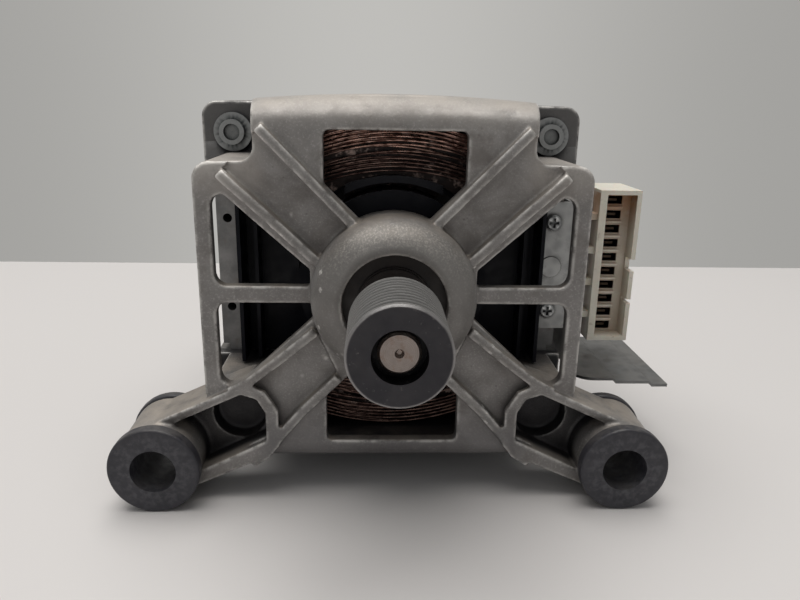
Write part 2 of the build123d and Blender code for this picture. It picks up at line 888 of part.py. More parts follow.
# Through bolts and flange nuts
rear_ear_back_y = core_back_y + ear_thickness
nut_front_y = ear_front_y - nut_flange_thickness - nut_collar_height
with BuildPart() as through_bolts:
    with BuildSketch(across(nut_front_y + bolt_tip_recess)):
        with GridLocations(2 * bolt_x, 2 * bolt_z, 2, 2):
            Circle(bolt_d / 2)
    extrude(amount=-(rear_ear_back_y - nut_front_y - bolt_tip_recess))
    with BuildSketch(across(rear_ear_back_y)):
        with GridLocations(2 * bolt_x, 2 * bolt_z, 2, 2):
            Circle(bolt_head_d / 2)
            RegularPolygon(bolt_d / 2, 6, mode=Mode.SUBTRACT)
    extrude(amount=-bolt_head_height)
    with BuildSketch(across(rear_ear_back_y)):
        with GridLocations(2 * bolt_x, 2 * bolt_z, 2, 2):
            Circle(bolt_head_d / 2)
    extrude(amount=-bolt_head_height / 3)
save(through_bolts, "through_bolts")

with BuildPart() as flange_nuts:
    with BuildSketch(across(ear_front_y - nut_flange_thickness)):
        with GridLocations(2 * bolt_x, 2 * bolt_z, 2, 2):
            Circle(nut_flange_d / 2)
    extrude(amount=-nut_flange_thickness)
    with BuildSketch(across(nut_front_y)):
        with GridLocations(2 * bolt_x, 2 * bolt_z, 2, 2):
            Circle(nut_collar_d / 2)
    extrude(amount=-nut_collar_height)
    with BuildSketch(across(nut_front_y)):
        with GridLocations(2 * bolt_x, 2 * bolt_z, 2, 2):
            Circle(bolt_d / 2 + press_gap)
    extrude(amount=-(nut_collar_height + nut_flange_thickness), mode=Mode.SUBTRACT)
save(flange_nuts, "flange_nuts")

# Fan, on the shaft just behind the front bearing
fan_y = hub_back_y + fan_front_gap
with BuildPart() as fan:
    with BuildSketch(across(fan_y)):
        Circle(fan_d / 2)
    extrude(amount=-fan_disc)
    with BuildSketch(across(fan_y)):
        Circle(fan_hub_d / 2)
        with PolarLocations((fan_hub_d + fan_d) / 4, fan_blades):
            Rectangle((fan_d - fan_hub_d) / 2 + fan_disc, fan_blade_thickness)
        Circle(fan_d / 2, mode=Mode.INTERSECT)
    extrude(amount=-fan_depth)
    with BuildSketch(across(fan_y)):
        Circle(shaft_front_d / 2 + press_gap)
    extrude(amount=-fan_depth, mode=Mode.SUBTRACT)
save(fan, "fan")

# Armature core with its slots
slot_r = rotor_d / 2 - rotor_tooth_lip - rotor_slot_depth / 2
with BuildPart() as armature_core:
    with BuildSketch(across(core_front_y)):
        Circle(rotor_d / 2)
        Circle(shaft_core_d / 2 + press_gap, mode=Mode.SUBTRACT)
        with PolarLocations(slot_r, rotor_slots):
            Rectangle(rotor_slot_depth, rotor_slot_width, mode=Mode.SUBTRACT)
        with PolarLocations(rotor_d / 2, rotor_slots):
            Rectangle(2 * rotor_tooth_lip + seat_gap, rotor_slot_mouth, mode=Mode.SUBTRACT)
    extrude(amount=-core_length)
save(armature_core, "armature_core")

# Armature winding: bars in the slots, joined by a coil end at each side
with BuildPart() as armature_winding:
    for end_y, length in (
        (core_front_y - coil_end_front, coil_end_front),
        (core_back_y, coil_end_rear),
    ):
        with BuildSketch(across(end_y)):
            Circle(coil_end_outer_d / 2)
            Circle(coil_end_inner_d / 2, mode=Mode.SUBTRACT)
        extrude(amount=-length)
    with BuildSketch(across(core_front_y)):
        with PolarLocations(slot_r, rotor_slots):
            Rectangle(rotor_slot_depth - 2 * seat_gap, rotor_slot_width - 2 * seat_gap)
    extrude(amount=-core_length)
save(armature_winding, "armature_winding")

# Commutator
with BuildPart() as commutator:
    with BuildSketch(across(commutator_front_y)):
        Circle(commutator_d / 2)
    extrude(amount=-commutator_length)
    with BuildSketch(across(commutator_front_y)):
        Circle(commutator_d / 2 + riser_height)
    extrude(amount=-riser_length)
    with BuildSketch(across(commutator_front_y)):
        Circle(shaft_core_d / 2 + press_gap)
    extrude(amount=-commutator_length, mode=Mode.SUBTRACT)
    with BuildSketch(across(commutator_front_y)):
        with PolarLocations(commutator_d / 2, commutator_bars):
            Rectangle(2 * (commutator_slot_depth + riser_height), commutator_slot_width)
        Circle(commutator_d / 2 - commutator_slot_depth, mode=Mode.SUBTRACT)
    extrude(amount=-commutator_length, mode=Mode.SUBTRACT)
save(commutator, "commutator")

# Field windings
slope_angle = math.radians(winding_slope)
layer_pitch = wire_d + wire_gap
turn_pitch = layer_pitch / math.cos(slope_angle)
layer_drop = turn_pitch + layer_pitch * math.tan(slope_angle) + seat_gap
outer_side_x = winding_side_x + layer_pitch
front_turn_y = core_front_y - winding_front_reach
rear_turn_y = core_back_y + winding_rear_reach
lead_y = front_turn_y + winding_corner + lead_front_gap
winding_core_x = winding_side_x - winding_lead_radius - wire_d - seat_gap


def end_bulge(chord):
    """Height of an end turn's long arc over its own chord."""
    flat = chord - 2 * winding_corner * math.cos(slope_angle)
    return flat * math.tan(slope_angle / 2) / 2


def end_rise(chord):
    """Height of an end turn's crown over its side runs."""
    return winding_corner * math.sin(slope_angle) + end_bulge(chord)


outer_low_z = winding_crown_z - end_rise(2 * outer_side_x)


def turn_level(layer, index):
    """Height of a turn's side run; the inner layer lies higher by the step between layers."""
    loosened = loose_gap if index >= loose_turns else 0
    inner = layer_drop if layer == 0 else 0
    return outer_low_z + index * turn_pitch + loosened + inner


def bend(start, heading, new_heading, radius):
    """Quarter turn from one heading into another that is square to it."""
    quarter = math.pi / 4
    middle = start + (heading * math.sin(quarter) + new_heading * (1 - math.cos(quarter))) * radius
    return (start, middle, start + (heading + new_heading) * radius)


def end_turn(start, finish, plane_y, outward):
    """Three arcs that carry the wire from one side run over the pole to the other side run."""
    chord = finish - start
    along = chord.normalized()
    upward = Vector(-along.Z, 0, along.X) * math.copysign(1, along.X)
    climb = along * math.cos(slope_angle) + upward * math.sin(slope_angle)
    fall = along * math.cos(slope_angle) - upward * math.sin(slope_angle)
    run_y = plane_y - outward * winding_corner
    heading = Vector(0, outward, 0)
    first = bend(start + Vector(0, run_y, 0), heading, climb, winding_corner)
    last_start = finish + Vector(0, plane_y, 0) - fall * winding_corner
    last = bend(last_start, fall, -heading, winding_corner)
    crown = (first[2] + last_start) / 2 + upward * end_bulge(chord.length)
    return [first, (first[2], crown, last_start), last]


def winding_arcs():
    """Arcs of the whole wire in order; straight runs join them."""
    rear = (rear_turn_y, rear_turn_y + layer_pitch)
    front = (front_turn_y, front_turn_y - layer_pitch)
    side_x = (winding_side_x, outer_side_x)
    first_z = turn_level(0, 0)
    lead_start = Vector(-winding_side_x + winding_lead_radius, lead_y, first_z)
    arcs = [bend(lead_start, Vector(-1, 0, 0), Vector(0, 1, 0), winding_lead_radius)]
    order = [(0, index) for index in range(turns_per_layer)]
    order += [(1, index) for index in reversed(range(turns_per_layer))]
    for place, (layer, index) in enumerate(order):
        level = turn_level(layer, index)
        left = Vector(-side_x[layer], 0, level)
        right = Vector(side_x[layer], 0, level)
        arcs += end_turn(left, right, rear[layer], 1)
        if place + 1 < len(order):
            next_layer, next_index = order[place + 1]
            next_left = Vector(-side_x[next_layer], 0, turn_level(next_layer, next_index))
            arcs += end_turn(right, next_left, front[next_layer], -1)
    lead_end = Vector(outer_side_x, lead_y, turn_level(1, 0))
    arcs.append(bend(lead_end, Vector(0, -1, 0), Vector(-1, 0, 0), winding_lead_radius))
    return arcs


def make_field_winding(name, upward):
    """One wire round the pole, turned half round the rotor axis for the lower pole."""
    def place(point):
        return Vector(upward * point.X, point.Y, upward * point.Z)

    arcs = winding_arcs()
    lead_in = Vector(-winding_core_x - seat_gap, lead_y, turn_level(0, 0))
    lead_out = Vector(winding_core_x + seat_gap, lead_y - winding_lead_radius, turn_level(1, 0))
    with BuildPart() as winding:
        with BuildLine() as path:
            here = lead_in
            for start, middle, finish in arcs:
                if (start - here).length > seat_gap:
                    Line(place(here), place(start))
                ThreePointArc(place(start), place(middle), place(finish))
                here = finish
            Line(place(here), place(lead_out))
        with BuildSketch(Plane(origin=path.line @ 0, z_dir=path.line % 0)):
            Circle(wire_d / 2)
        sweep(path=path.line)
    save(winding, name)
    return winding, path.line


def least_gap(wire):
    """Smallest clear distance between parts of the wire that are far apart along it."""
    step = wire_gap
    points = []
    for edge in wire.edges():
        count = max(2, math.ceil(edge.length / step))
        points += [edge @ (index / count) for index in range(count)]
    cell = 2 * layer_pitch
    grid = {}
    for index, point in enumerate(points):
        key = tuple(math.floor(value / cell) for value in tuple(point))
        grid.setdefault(key, []).append(index)
    skip = math.ceil(2 * math.pi * layer_pitch / step)
    nearest = cell
    for (column, row, level), members in grid.items():
        near = [
            other
            for a in (-1, 0, 1)
            for b in (-1, 0, 1)
            for c in (-1, 0, 1)
            for other in grid.get((column + a, row + b, level + c), [])
        ]
        for index in members:
            for other in near:
                if other - index > skip:
                    nearest = min(nearest, (points[index] - points[other]).length)
    return nearest - wire_d


upper_winding, upper_wire = make_field_winding("upper_field_winding", 1)
make_field_winding("lower_field_winding", -1)
print("least gap of a field winding to itself", round(least_gap(upper_wire), 3))
wire_length = sum(edge.length for edge in upper_wire.edges())
wire_volume = wire_length * math.pi * wire_d**2 / 4
print("wire length", round(wire_length), "volume share", round(upper_winding.part.volume / wire_volume, 4))

# Inner turns of each field winding, as one body under the two outer layers
core_low_z = outer_low_z - winding_core_skirt
core_side_z = turn_level(0, turns_per_layer - 1)
core_crown_z = core_side_z + end_rise(2 * winding_side_x)
core_start_y = front_turn_y + winding_core_front_gap
core_end_y = rear_turn_y - winding_core_front_gap
for name, upward in (("upper_winding_core", 1), ("lower_winding_core", -1)):
    with BuildPart() as inner_turns:
        with BuildSketch(across(core_start_y)):
            with BuildLine():
                Polyline(
                    (-winding_core_x, upward * core_side_z),
                    (-winding_core_x, upward * core_low_z),
                    (winding_core_x, upward * core_low_z),
                    (winding_core_x, upward * core_side_z),
                )
                ThreePointArc(
                    (winding_core_x, upward * core_side_z),
                    (0, upward * core_crown_z),
                    (-winding_core_x, upward * core_side_z),
                )
            make_face()
        extrude(amount=-(core_end_y - core_start_y))
        corner_edges = inner_turns.edges().filter_by(Axis.Z)
        fillet(corner_edges, winding_corner - layer_pitch)
        with BuildSketch(across(core_start_y)):
            Circle(frame_arch_d / 2 + soft_gap)
        extrude(amount=-(core_end_y - core_start_y), mode=Mode.SUBTRACT)
        with BuildSketch(across(core_front_y - frame_plate - soft_gap)):
            Circle(bore_d / 2 + pole_shoe + soft_gap)
            Rectangle(2 * (pole_neck_half_width + soft_gap), 2 * core_crown_z + 2 * cut_over)
        extrude(amount=-(core_length + 2 * frame_plate + 2 * soft_gap), mode=Mode.SUBTRACT)
        with BuildSketch(across(core_front_y - soft_gap)):
            with Locations((0, upward * (core_inner_half_height - soft_gap + core_crown_z) / 2)):
                Rectangle(2 * winding_side_x, core_crown_z - core_inner_half_height + soft_gap)
        extrude(amount=-(core_length + 2 * soft_gap), mode=Mode.SUBTRACT)
    save(inner_turns, name)


# Coil frames on both faces of the stator core
def arches(half_width):
    """Section of the arches over and under the bore, cut off at half_width on each side."""
    Circle(frame_arch_d / 2)
    Circle(frame_bore_d / 2, mode=Mode.SUBTRACT)
    Rectangle(2 * half_width, frame_arch_d, mode=Mode.INTERSECT)


def make_frame(name, start_y, outward, reach):
    """Plate on the core's face, a collar round the bore and arches under the end turns."""
    def layer(near, far):
        """Front plane and length of a slice between two distances from the core's face."""
        first = start_y + outward * near
        second = start_y + outward * far
        return across(min(first, second)), abs(far - near)

    with BuildPart() as frame:
        plane, length = layer(0, frame_plate)
        with BuildSketch(plane):
            Rectangle(2 * frame_half_width, 2 * frame_half_height)
            Rectangle(2 * frame_end_half_width, 2 * frame_end_half_height)
            passage_width = frame_end_half_width - frame_neck_half_width + cut_over
            passage_height = frame_end_half_height - frame_passage_height + cut_over
            with GridLocations(
                2 * frame_neck_half_width + passage_width, 2 * frame_passage_height + passage_height, 2, 2
            ):
                Rectangle(passage_width, passage_height, mode=Mode.SUBTRACT)
            Circle(frame_arch_d / 2)
            Circle(frame_bore_d / 2, mode=Mode.SUBTRACT)
        extrude(amount=-length)
        plane, length = layer(frame_plate, reach)
        with BuildSketch(plane):
            arches(frame_arch_half_width)
        extrude(amount=-length)
        for place, wall_reach in zip(side_wall_places, side_wall_reaches):
            plane, length = layer(frame_plate, min(wall_reach, reach))
            with BuildSketch(plane):
                with Locations((place, 0), (-place, 0)):
                    Rectangle(side_wall_thickness, 2 * frame_half_height)
            extrude(amount=-length)
        if outward < 0:
            plane, length = layer(reach, frame_tongue_reach - frame_lip_thickness)
            with BuildSketch(plane):
                arches(frame_tongue_half_width)
            extrude(amount=-length)
            plane, length = layer(frame_tongue_reach - frame_lip_thickness, frame_tongue_reach)
            with BuildSketch(plane):
                arches(frame_tongue_half_width)
                for upward in (1, -1):
                    with BuildLine():
                        ThreePointArc(
                            (-frame_tongue_half_width, upward * frame_lip_shoulder),
                            (0, upward * frame_lip_height),
                            (frame_tongue_half_width, upward * frame_lip_shoulder),
                        )
                        Polyline(
                            (frame_tongue_half_width, upward * frame_lip_shoulder),
                            (0, 0),
                            (-frame_tongue_half_width, upward * frame_lip_shoulder),
                        )
                    make_face()
                Circle(frame_bore_d / 2, mode=Mode.SUBTRACT)
            extrude(amount=-length)
    save(frame, name)


make_frame("front_insulator", core_front_y, -1, frame_arch_reach)
make_frame("rear_insulator", core_back_y, 1, winding_rear_reach - cut_over)

# Connector housing
connector_front_y = web_y + connector_set_back
connector_x = (connector_left_x + connector_right_x) / 2
socket_left_x = connector_left_x + connector_left_wall
socket_right_x = connector_right_x - connector_wall
socket_floor_y = connector_front_y + connector_socket_depth
slot_x = socket_left_x + slot_margin + slot_width / 2
rib_x = socket_left_x + slot_rib_width / 2
plate_y = core_front_y - sheet
with BuildPart() as connector_housing:
    with BuildSketch(across(connector_front_y)):
        with Locations((connector_x, 0)):
            Rectangle(connector_width, 2 * connector_half_height)
    extrude(amount=-connector_depth)
    with BuildSketch(across(connector_front_y)):
        with Locations(((socket_left_x + socket_right_x) / 2, 0)):
            Rectangle(socket_right_x - socket_left_x, 2 * connector_half_height - 2 * connector_wall)
    extrude(amount=-connector_socket_depth, mode=Mode.SUBTRACT)
    with BuildSketch(across(socket_floor_y - slot_rib_height)):
        with Locations((rib_x, 0)):
            with GridLocations(0, connector_pitch, 1, connector_ways + 1):
                Rectangle(slot_rib_width, slot_rib_thickness)
    extrude(amount=-slot_rib_height)
    with BuildSketch(across(socket_floor_y)):
        with Locations((slot_x, 0)):
            with GridLocations(0, connector_pitch, 1, connector_ways):
                Rectangle(slot_width, slot_height)
    extrude(amount=-slot_depth, mode=Mode.SUBTRACT)
    with BuildSketch(across(connector_front_y)):
        for place, width in zip(key_places, key_widths):
            with Locations((connector_right_x, place)):
                Rectangle(2 * connector_wall, width)
    extrude(amount=-key_depth, mode=Mode.SUBTRACT)
    with BuildSketch(across(connector_front_y + connector_rib_set_back)):
        for place in connector_rib_places:
            with Locations(((bracket_plate_right_x + connector_left_x) / 2, place)):
                Rectangle(connector_left_x - bracket_plate_right_x, connector_rib_height)
    extrude(amount=-connector_rib_length)
save(connector_housing, "connector_housing")

with BuildPart() as connector_terminals:
    with BuildSketch(across(socket_floor_y + terminal_recess)):
        with Locations((slot_x, 0)):
            with GridLocations(0, connector_pitch, 1, connector_ways):
                Rectangle(terminal_width, terminal_thickness)
    extrude(amount=-(slot_depth - terminal_recess))
save(connector_terminals, "connector_terminals")

# Connector bracket, its screws and the cable guide below it
plate_width = bracket_plate_right_x - bracket_plate_left_x
plate_x = (bracket_plate_left_x + bracket_plate_right_x) / 2
arm_x = bracket_plate_right_x - sheet / 2
with BuildPart() as connector_bracket:
    with BuildSketch(across(plate_y)):
        with Locations((plate_x, 0)):
            Rectangle(plate_width, 2 * bracket_plate_half_height)
    extrude(amount=-sheet)
    with BuildSketch(across(plate_y)):
        with Locations((arm_x, 0)):
            Rectangle(sheet, 2 * bracket_plate_half_height)
    extrude(amount=-bracket_arm_length)
    corners = connector_bracket.edges().filter_by(Axis.Y).filter_by(
        lambda e: e.center().X < bracket_plate_left_x + seat_gap
    )
    fillet(corners, bracket_plate_corner)
    with BuildSketch(across(plate_y - bracket_boss_rise)):
        with Locations((bracket_boss_x, 0)):
            Circle(bracket_boss_d / 2)
    extrude(amount=-bracket_boss_rise)
    with BuildSketch(across(plate_y)):
        with Locations((strip_hole_x, strip_hole_z), (strip_hole_x, -strip_hole_z)):
            Circle(screw_d / 2 + press_gap)
    extrude(amount=-sheet, mode=Mode.SUBTRACT)
save(connector_bracket, "connector_bracket")


def pan_head_screws(head_y, places, length):
    """Screws that point to the rear, with their heads ending at head_y."""
    with BuildPart() as screws:
        with BuildSketch(across(head_y - screw_head_height)):
            with Locations(*places):
                Circle(screw_head_d / 2)
        extrude(amount=-screw_head_height)
        rims = screws.edges().group_by(Axis.Y)[0]
        fillet(rims, screw_head_height / 3)
        with BuildSketch(across(head_y)):
            with Locations(*places):
                Circle(screw_d / 2)
        extrude(amount=-length)
        with BuildSketch(across(head_y - screw_head_height)):
            with Locations(*places):
                Rectangle(screw_head_d * screw_slot_share, screw_slot_width)
                Rectangle(screw_slot_width, screw_head_d * screw_slot_share)
        extrude(amount=-screw_slot_depth, mode=Mode.SUBTRACT)
    return screws


bracket_screws = pan_head_screws(
    plate_y, [(strip_hole_x, strip_hole_z), (strip_hole_x, -strip_hole_z)], screw_length
)
save(bracket_screws, "bracket_screws")

guide_y = web_y + guide_front
guide_length = guide_back - guide_front
guide_top_z = -guide_drop
guide_width = sum(guide_panels)
flange_top_z = connector_rib_places[-1] - connector_rib_height / 2 - soft_gap
flange_bottom_z = guide_top_z - guide_sheet
with BuildPart() as cable_guide:
    with BuildSketch(across(guide_y)):
        with BuildLine():
            left = bracket_plate_right_x
            first = left + guide_panels[0]
            second = first + guide_panels[1]
            last = second + guide_panels[2]
            upper = [
                (left, guide_top_z),
                (first, guide_top_z),
                (first + guide_step, guide_top_z - guide_step),
                (second, guide_top_z - guide_step),
                (second + guide_step, guide_top_z - 2 * guide_step),
                (last, guide_top_z - 2 * guide_step),
            ]
            Polyline(*upper, *[(x, z - guide_sheet) for x, z in reversed(upper)], close=True)
        make_face()
    extrude(amount=-guide_length)
    with BuildSketch(Plane.XY.offset(guide_top_z - 2 * guide_step - guide_sheet)):
        with Locations((left + guide_width / 2, guide_y + guide_length / 2)):
            plan = Rectangle(guide_width, guide_length)
        near = plan.vertices().group_by(Axis.Y)[0].sort_by(Axis.X)
        fillet(near[0], guide_corner)
        fillet(near[-1], guide_outer_corner)
    extrude(amount=2 * guide_step + 2 * guide_sheet, mode=Mode.INTERSECT)
    with BuildSketch(across(web_y + guide_flange_start)):
        with Locations((left + guide_sheet / 2, (flange_top_z + flange_bottom_z) / 2)):
            Rectangle(guide_sheet, flange_top_z - flange_bottom_z)
    extrude(amount=-guide_flange_length)
save(cable_guide, "cable_guide")

# Rear bracket
rear_back_y = rear_web_y + rear_web
rear_inner_y = core_back_y
holder_half_depth = brush_width / 2 + brush_gap + holder_wall
holder_back_y = brush_y + holder_half_depth
foot_bottom_z = -bush_drop - bush_flange_d / 2
foot_bore_z = (foot_bottom_z - rear_half_height) / 2


def plus_face(inset):
    """Cross of two rectangles, both drawn in by the inset, with rounded corners."""
    with BuildSketch(Plane.XY) as face:
        Rectangle(2 * (rear_half_width - inset), 2 * (rear_shelf_height - inset))
        Rectangle(2 * (rear_end_half_width - inset), 2 * (rear_half_height - inset))
        if not inset:
            fillet(face.vertices(), rear_corner_radius)
    return face.sketch


with BuildPart() as rear_bracket:
    with BuildSketch(across(rear_inner_y)):
        add(plus_face(0))
    extrude(amount=-(rear_back_y - rear_inner_y))
    rear_edges = rear_bracket.faces().sort_by(Axis.Y)[-1].edges()
    fillet(rear_edges, side_edge_radius)
    with BuildSketch(across(rear_inner_y)):
        add(plus_face(rear_wall))
    extrude(amount=-rear_depth, mode=Mode.SUBTRACT)
    # Ears
    with BuildSketch(across(rear_inner_y)):
        RectangleRounded(2 * ear_half_width, 2 * ear_half_height, ear_corner_radius)
        add(plus_face(rear_wall), mode=Mode.SUBTRACT)
        Rectangle(2 * ear_half_width, 2 * rear_shelf_height - 2 * rear_wall, mode=Mode.SUBTRACT)
        Rectangle(2 * rear_end_half_width - 2 * rear_wall, 2 * ear_half_height, mode=Mode.SUBTRACT)
        with GridLocations(2 * bolt_x, 2 * bolt_z, 2, 2):
            Circle(bolt_d / 2 + running_gap, mode=Mode.SUBTRACT)
    extrude(amount=-ear_thickness)
    # Bearing hub and brush holder posts
    with BuildSketch(across(rear_bearing_front_y)):
        Circle(rear_hub_d / 2)
    extrude(amount=-(rear_web_y - rear_bearing_front_y))
    with BuildSketch(across(holder_back_y)):
        with GridLocations(2 * holder_screw_x, 2 * holder_screw_z, 2, 2):
            Circle(holder_post_d / 2)
    extrude(amount=-(rear_web_y - holder_back_y))
    with BuildSketch(across(rear_bearing_front_y)):
        Circle(rear_bearing_size[1] / 2)
    extrude(amount=-rear_bearing_size[2], mode=Mode.SUBTRACT)
    with BuildSketch(across(rear_bearing_back_y)):
        Circle(rear_lip_d / 2)
    extrude(amount=-(rear_back_y - rear_bearing_back_y), mode=Mode.SUBTRACT)
    with BuildSketch(across(holder_back_y)):
        with GridLocations(2 * holder_screw_x, 2 * holder_screw_z, 2, 2):
            Circle(screw_d / 2 + press_gap)
    extrude(amount=-(screw_length - holder_ear + soft_gap), mode=Mode.SUBTRACT)
    # Windows in the web and in both sides
    with BuildSketch(across(rear_web_y)):
        for angle in (rear_window_angle, -rear_window_angle):
            for middle in (angle, math.degrees(math.pi) + angle):
                with BuildLine():
                    start = middle - rear_window_half_angle
                    finish = middle + rear_window_half_angle
                    inner = CenterArc((0, 0), rear_window_inner_r, start, 2 * rear_window_half_angle)
                    outer = CenterArc((0, 0), rear_window_outer_r, start, 2 * rear_window_half_angle)
                    Line(inner @ 0, outer @ 0)
                    Line(inner @ 1, outer @ 1)
                make_face()
    extrude(amount=-rear_web, mode=Mode.SUBTRACT)
    side_length = rear_depth - rear_side_window_start - rear_side_window_end
    with BuildSketch(across(rear_inner_y + rear_side_window_start)):
        with Locations((rear_half_width, 0), (-rear_half_width, 0)):
            Rectangle(2 * rear_wall + 2 * cut_over, 2 * rear_side_window_half_height)
    extrude(amount=-side_length, mode=Mode.SUBTRACT)
    # Feet
    with BuildSketch(across(rear_back_y - rear_foot_length)):
        with Locations(
            (rear_foot_x, (foot_bottom_z - rear_half_height + rear_wall) / 2),
            (-rear_foot_x, (foot_bottom_z - rear_half_height + rear_wall) / 2),
        ):
            Rectangle(rear_foot_width, -foot_bottom_z - rear_half_height + rear_wall)
        with Locations((rear_foot_x, foot_bore_z), (-rear_foot_x, foot_bore_z)):
            Circle(rear_foot_bore_d / 2, mode=Mode.SUBTRACT)
    extrude(amount=-rear_foot_length)
save(rear_bracket, "rear_bracket")

# Brush gear on both sides
holder_start_x = commutator_d / 2 + holder_start_gap
holder_half_height = brush_thickness / 2 + brush_gap + holder_wall
brush_tip_r = commutator_d / 2 + seat_gap
brush_back_x = brush_tip_r + brush_length
spring_start_x = brush_back_x + seat_gap
for name, side in (("left", -1), ("right", 1)):
    with BuildPart() as holder:
        with BuildSketch(Plane.YZ.offset(side * holder_start_x)):
            with Locations((brush_y, 0)):
                Rectangle(2 * holder_half_depth, 2 * holder_half_height)
                Rectangle(brush_width + 2 * brush_gap, brush_thickness + 2 * brush_gap, mode=Mode.SUBTRACT)
        extrude(amount=side * (holder_end_x - holder_start_x))
        with BuildSketch(across(holder_back_y - holder_ear)):
            with Locations(
                (side * holder_screw_x, (holder_half_height + holder_ear_half_height) / 2),
                (side * holder_screw_x, -(holder_half_height + holder_ear_half_height) / 2),
            ):
                Rectangle(holder_ear_width, holder_ear_half_height - holder_half_height)
            with Locations(
                (side * holder_screw_x, holder_screw_z), (side * holder_screw_x, -holder_screw_z)
            ):
                Circle(screw_d / 2 + press_gap, mode=Mode.SUBTRACT)
        extrude(amount=-holder_ear)
    save(holder, name + "_brush_holder")

    with BuildPart() as brush:
        with BuildSketch(Plane.YZ):
            with Locations((brush_y, 0)):
                Rectangle(brush_width, brush_thickness)
        extrude(amount=side * brush_back_x)
        with BuildSketch(across(brush_y - brush_width)):
            Circle(brush_tip_r)
        extrude(amount=-2 * brush_width, mode=Mode.SUBTRACT)
    save(brush, name + "_carbon_brush")

    with BuildPart() as spring:
        with BuildSketch(Plane.YZ.offset(side * spring_start_x)):
            with Locations((brush_y, 0)):
                Circle(spring_d / 2)
                Circle(spring_hole_d / 2, mode=Mode.SUBTRACT)
        extrude(amount=side * (holder_end_x - seat_gap - spring_start_x))
    save(spring, name + "_brush_spring")

    with BuildPart() as cap:
        with BuildSketch(Plane.YZ.offset(side * holder_end_x)):
            with Locations((brush_y, 0)):
                Rectangle(2 * holder_half_depth, 2 * holder_half_height)
        extrude(amount=side * cap_thickness)
    save(cap, name + "_brush_cap")

brush_screws = pan_head_screws(
    holder_back_y - holder_ear,
    [(x * holder_screw_x, z * holder_screw_z) for x in (1, -1) for z in (1, -1)],
    screw_length,
)
save(brush_screws, "brush_screws")

# Speed sensor
tacho_magnet = tube(magnet_front_y, magnet_front_y + magnet_length, shaft_tail_d / 2 + press_gap, magnet_d / 2)
save(tacho_magnet, "tacho_magnet")
coil_inner_r = magnet_d / 2 + tacho_coil_gap
tacho_coil = tube(
    rear_back_y, magnet_front_y + magnet_length, coil_inner_r, coil_inner_r + tacho_coil_wall
)
save(tacho_coil, "tacho_coil")
cover_back_y = rear_back_y + tacho_cover_depth
cover_inner_r = tacho_cover_d / 2 - tacho_cover_wall
tacho_cover = turned(
    [
        (cover_inner_r, rear_back_y),
        (tacho_cover_d / 2, rear_back_y),
        (tacho_cover_d / 2, cover_back_y),
        (0, cover_back_y),
        (0, cover_back_y - tacho_cover_wall),
        (cover_inner_r, cover_back_y - tacho_cover_wall),
    ]
)
save(tacho_cover, "tacho_cover")

# Thermal protector on the rear coil frame
with BuildPart() as thermal_protector:
    with BuildSketch(across(core_back_y + frame_plate)):
        with Locations((side_wall_places[1] - side_wall_thickness - protector_width / 2, 0)):
            Rectangle(protector_width, protector_height)
    extrude(amount=-protector_depth)
save(thermal_protector, "thermal_protector")
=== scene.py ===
import math

import bpy
from mathutils import Matrix, Vector


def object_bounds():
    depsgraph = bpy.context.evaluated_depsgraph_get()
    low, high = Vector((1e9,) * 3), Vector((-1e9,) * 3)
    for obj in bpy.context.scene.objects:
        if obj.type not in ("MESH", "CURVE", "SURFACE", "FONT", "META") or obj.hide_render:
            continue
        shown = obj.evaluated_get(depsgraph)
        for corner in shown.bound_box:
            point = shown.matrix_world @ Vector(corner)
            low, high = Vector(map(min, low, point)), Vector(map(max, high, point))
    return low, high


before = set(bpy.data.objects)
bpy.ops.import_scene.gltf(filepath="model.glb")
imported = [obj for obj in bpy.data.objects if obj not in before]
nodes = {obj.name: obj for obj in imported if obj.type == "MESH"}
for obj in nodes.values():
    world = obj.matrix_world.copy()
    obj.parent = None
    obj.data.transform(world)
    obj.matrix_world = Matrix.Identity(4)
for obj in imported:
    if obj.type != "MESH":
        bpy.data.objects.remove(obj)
cad_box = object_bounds()


# ---------------------------------------------------------------- node helpers

class Graph:
    """A node tree, with short calls for the nodes used here."""

    def __init__(self, tree):
        self.tree = tree
        tree.nodes.clear()

    def node(self, kind, **values):
        made = self.tree.nodes.new(kind)
        for key, value in values.items():
            setattr(made, key, value)
        return made

    def plug(self, socket, value):
        """Links a socket's value, or sets a number, a place or a colour without its alpha."""
        if isinstance(value, bpy.types.NodeSocket):
            self.tree.links.new(value, socket)
        elif isinstance(value, tuple) and socket.type == "RGBA":
            socket.default_value = (*value, 1.0)
        else:
            socket.default_value = value

    def math(self, operation, first, second=0.0, third=0.0):
        made = self.node("ShaderNodeMath", operation=operation)
        for socket, value in zip(made.inputs, (first, second, third)):
            self.plug(socket, value)
        return made.outputs[0]

    def times(self, first, *others):
        for other in others:
            first = self.math("MULTIPLY", first, other)
        return first

    def larger(self, first, second):
        return self.math("MAXIMUM", first, second)

    def ramp(self, value, start, end, low=0.0, high=1.0):
        """Runs smoothly from low, where the value is start, to high, where it is end."""
        made = self.node("ShaderNodeMapRange", interpolation_type="SMOOTHSTEP")
        self.plug(made.inputs["Value"], value)
        made.inputs["From Min"].default_value = start
        made.inputs["From Max"].default_value = end
        made.inputs["To Min"].default_value = low
        made.inputs["To Max"].default_value = high
        return made.outputs[0]

    def split(self, vector):
        made = self.node("ShaderNodeSeparateXYZ")
        self.plug(made.inputs[0], vector)
        return made.outputs

    def background(self, color, strength):
        made = self.node("ShaderNodeBackground")
        self.plug(made.inputs["Color"], color)
        self.plug(made.inputs["Strength"], strength)
        return made.outputs[0]


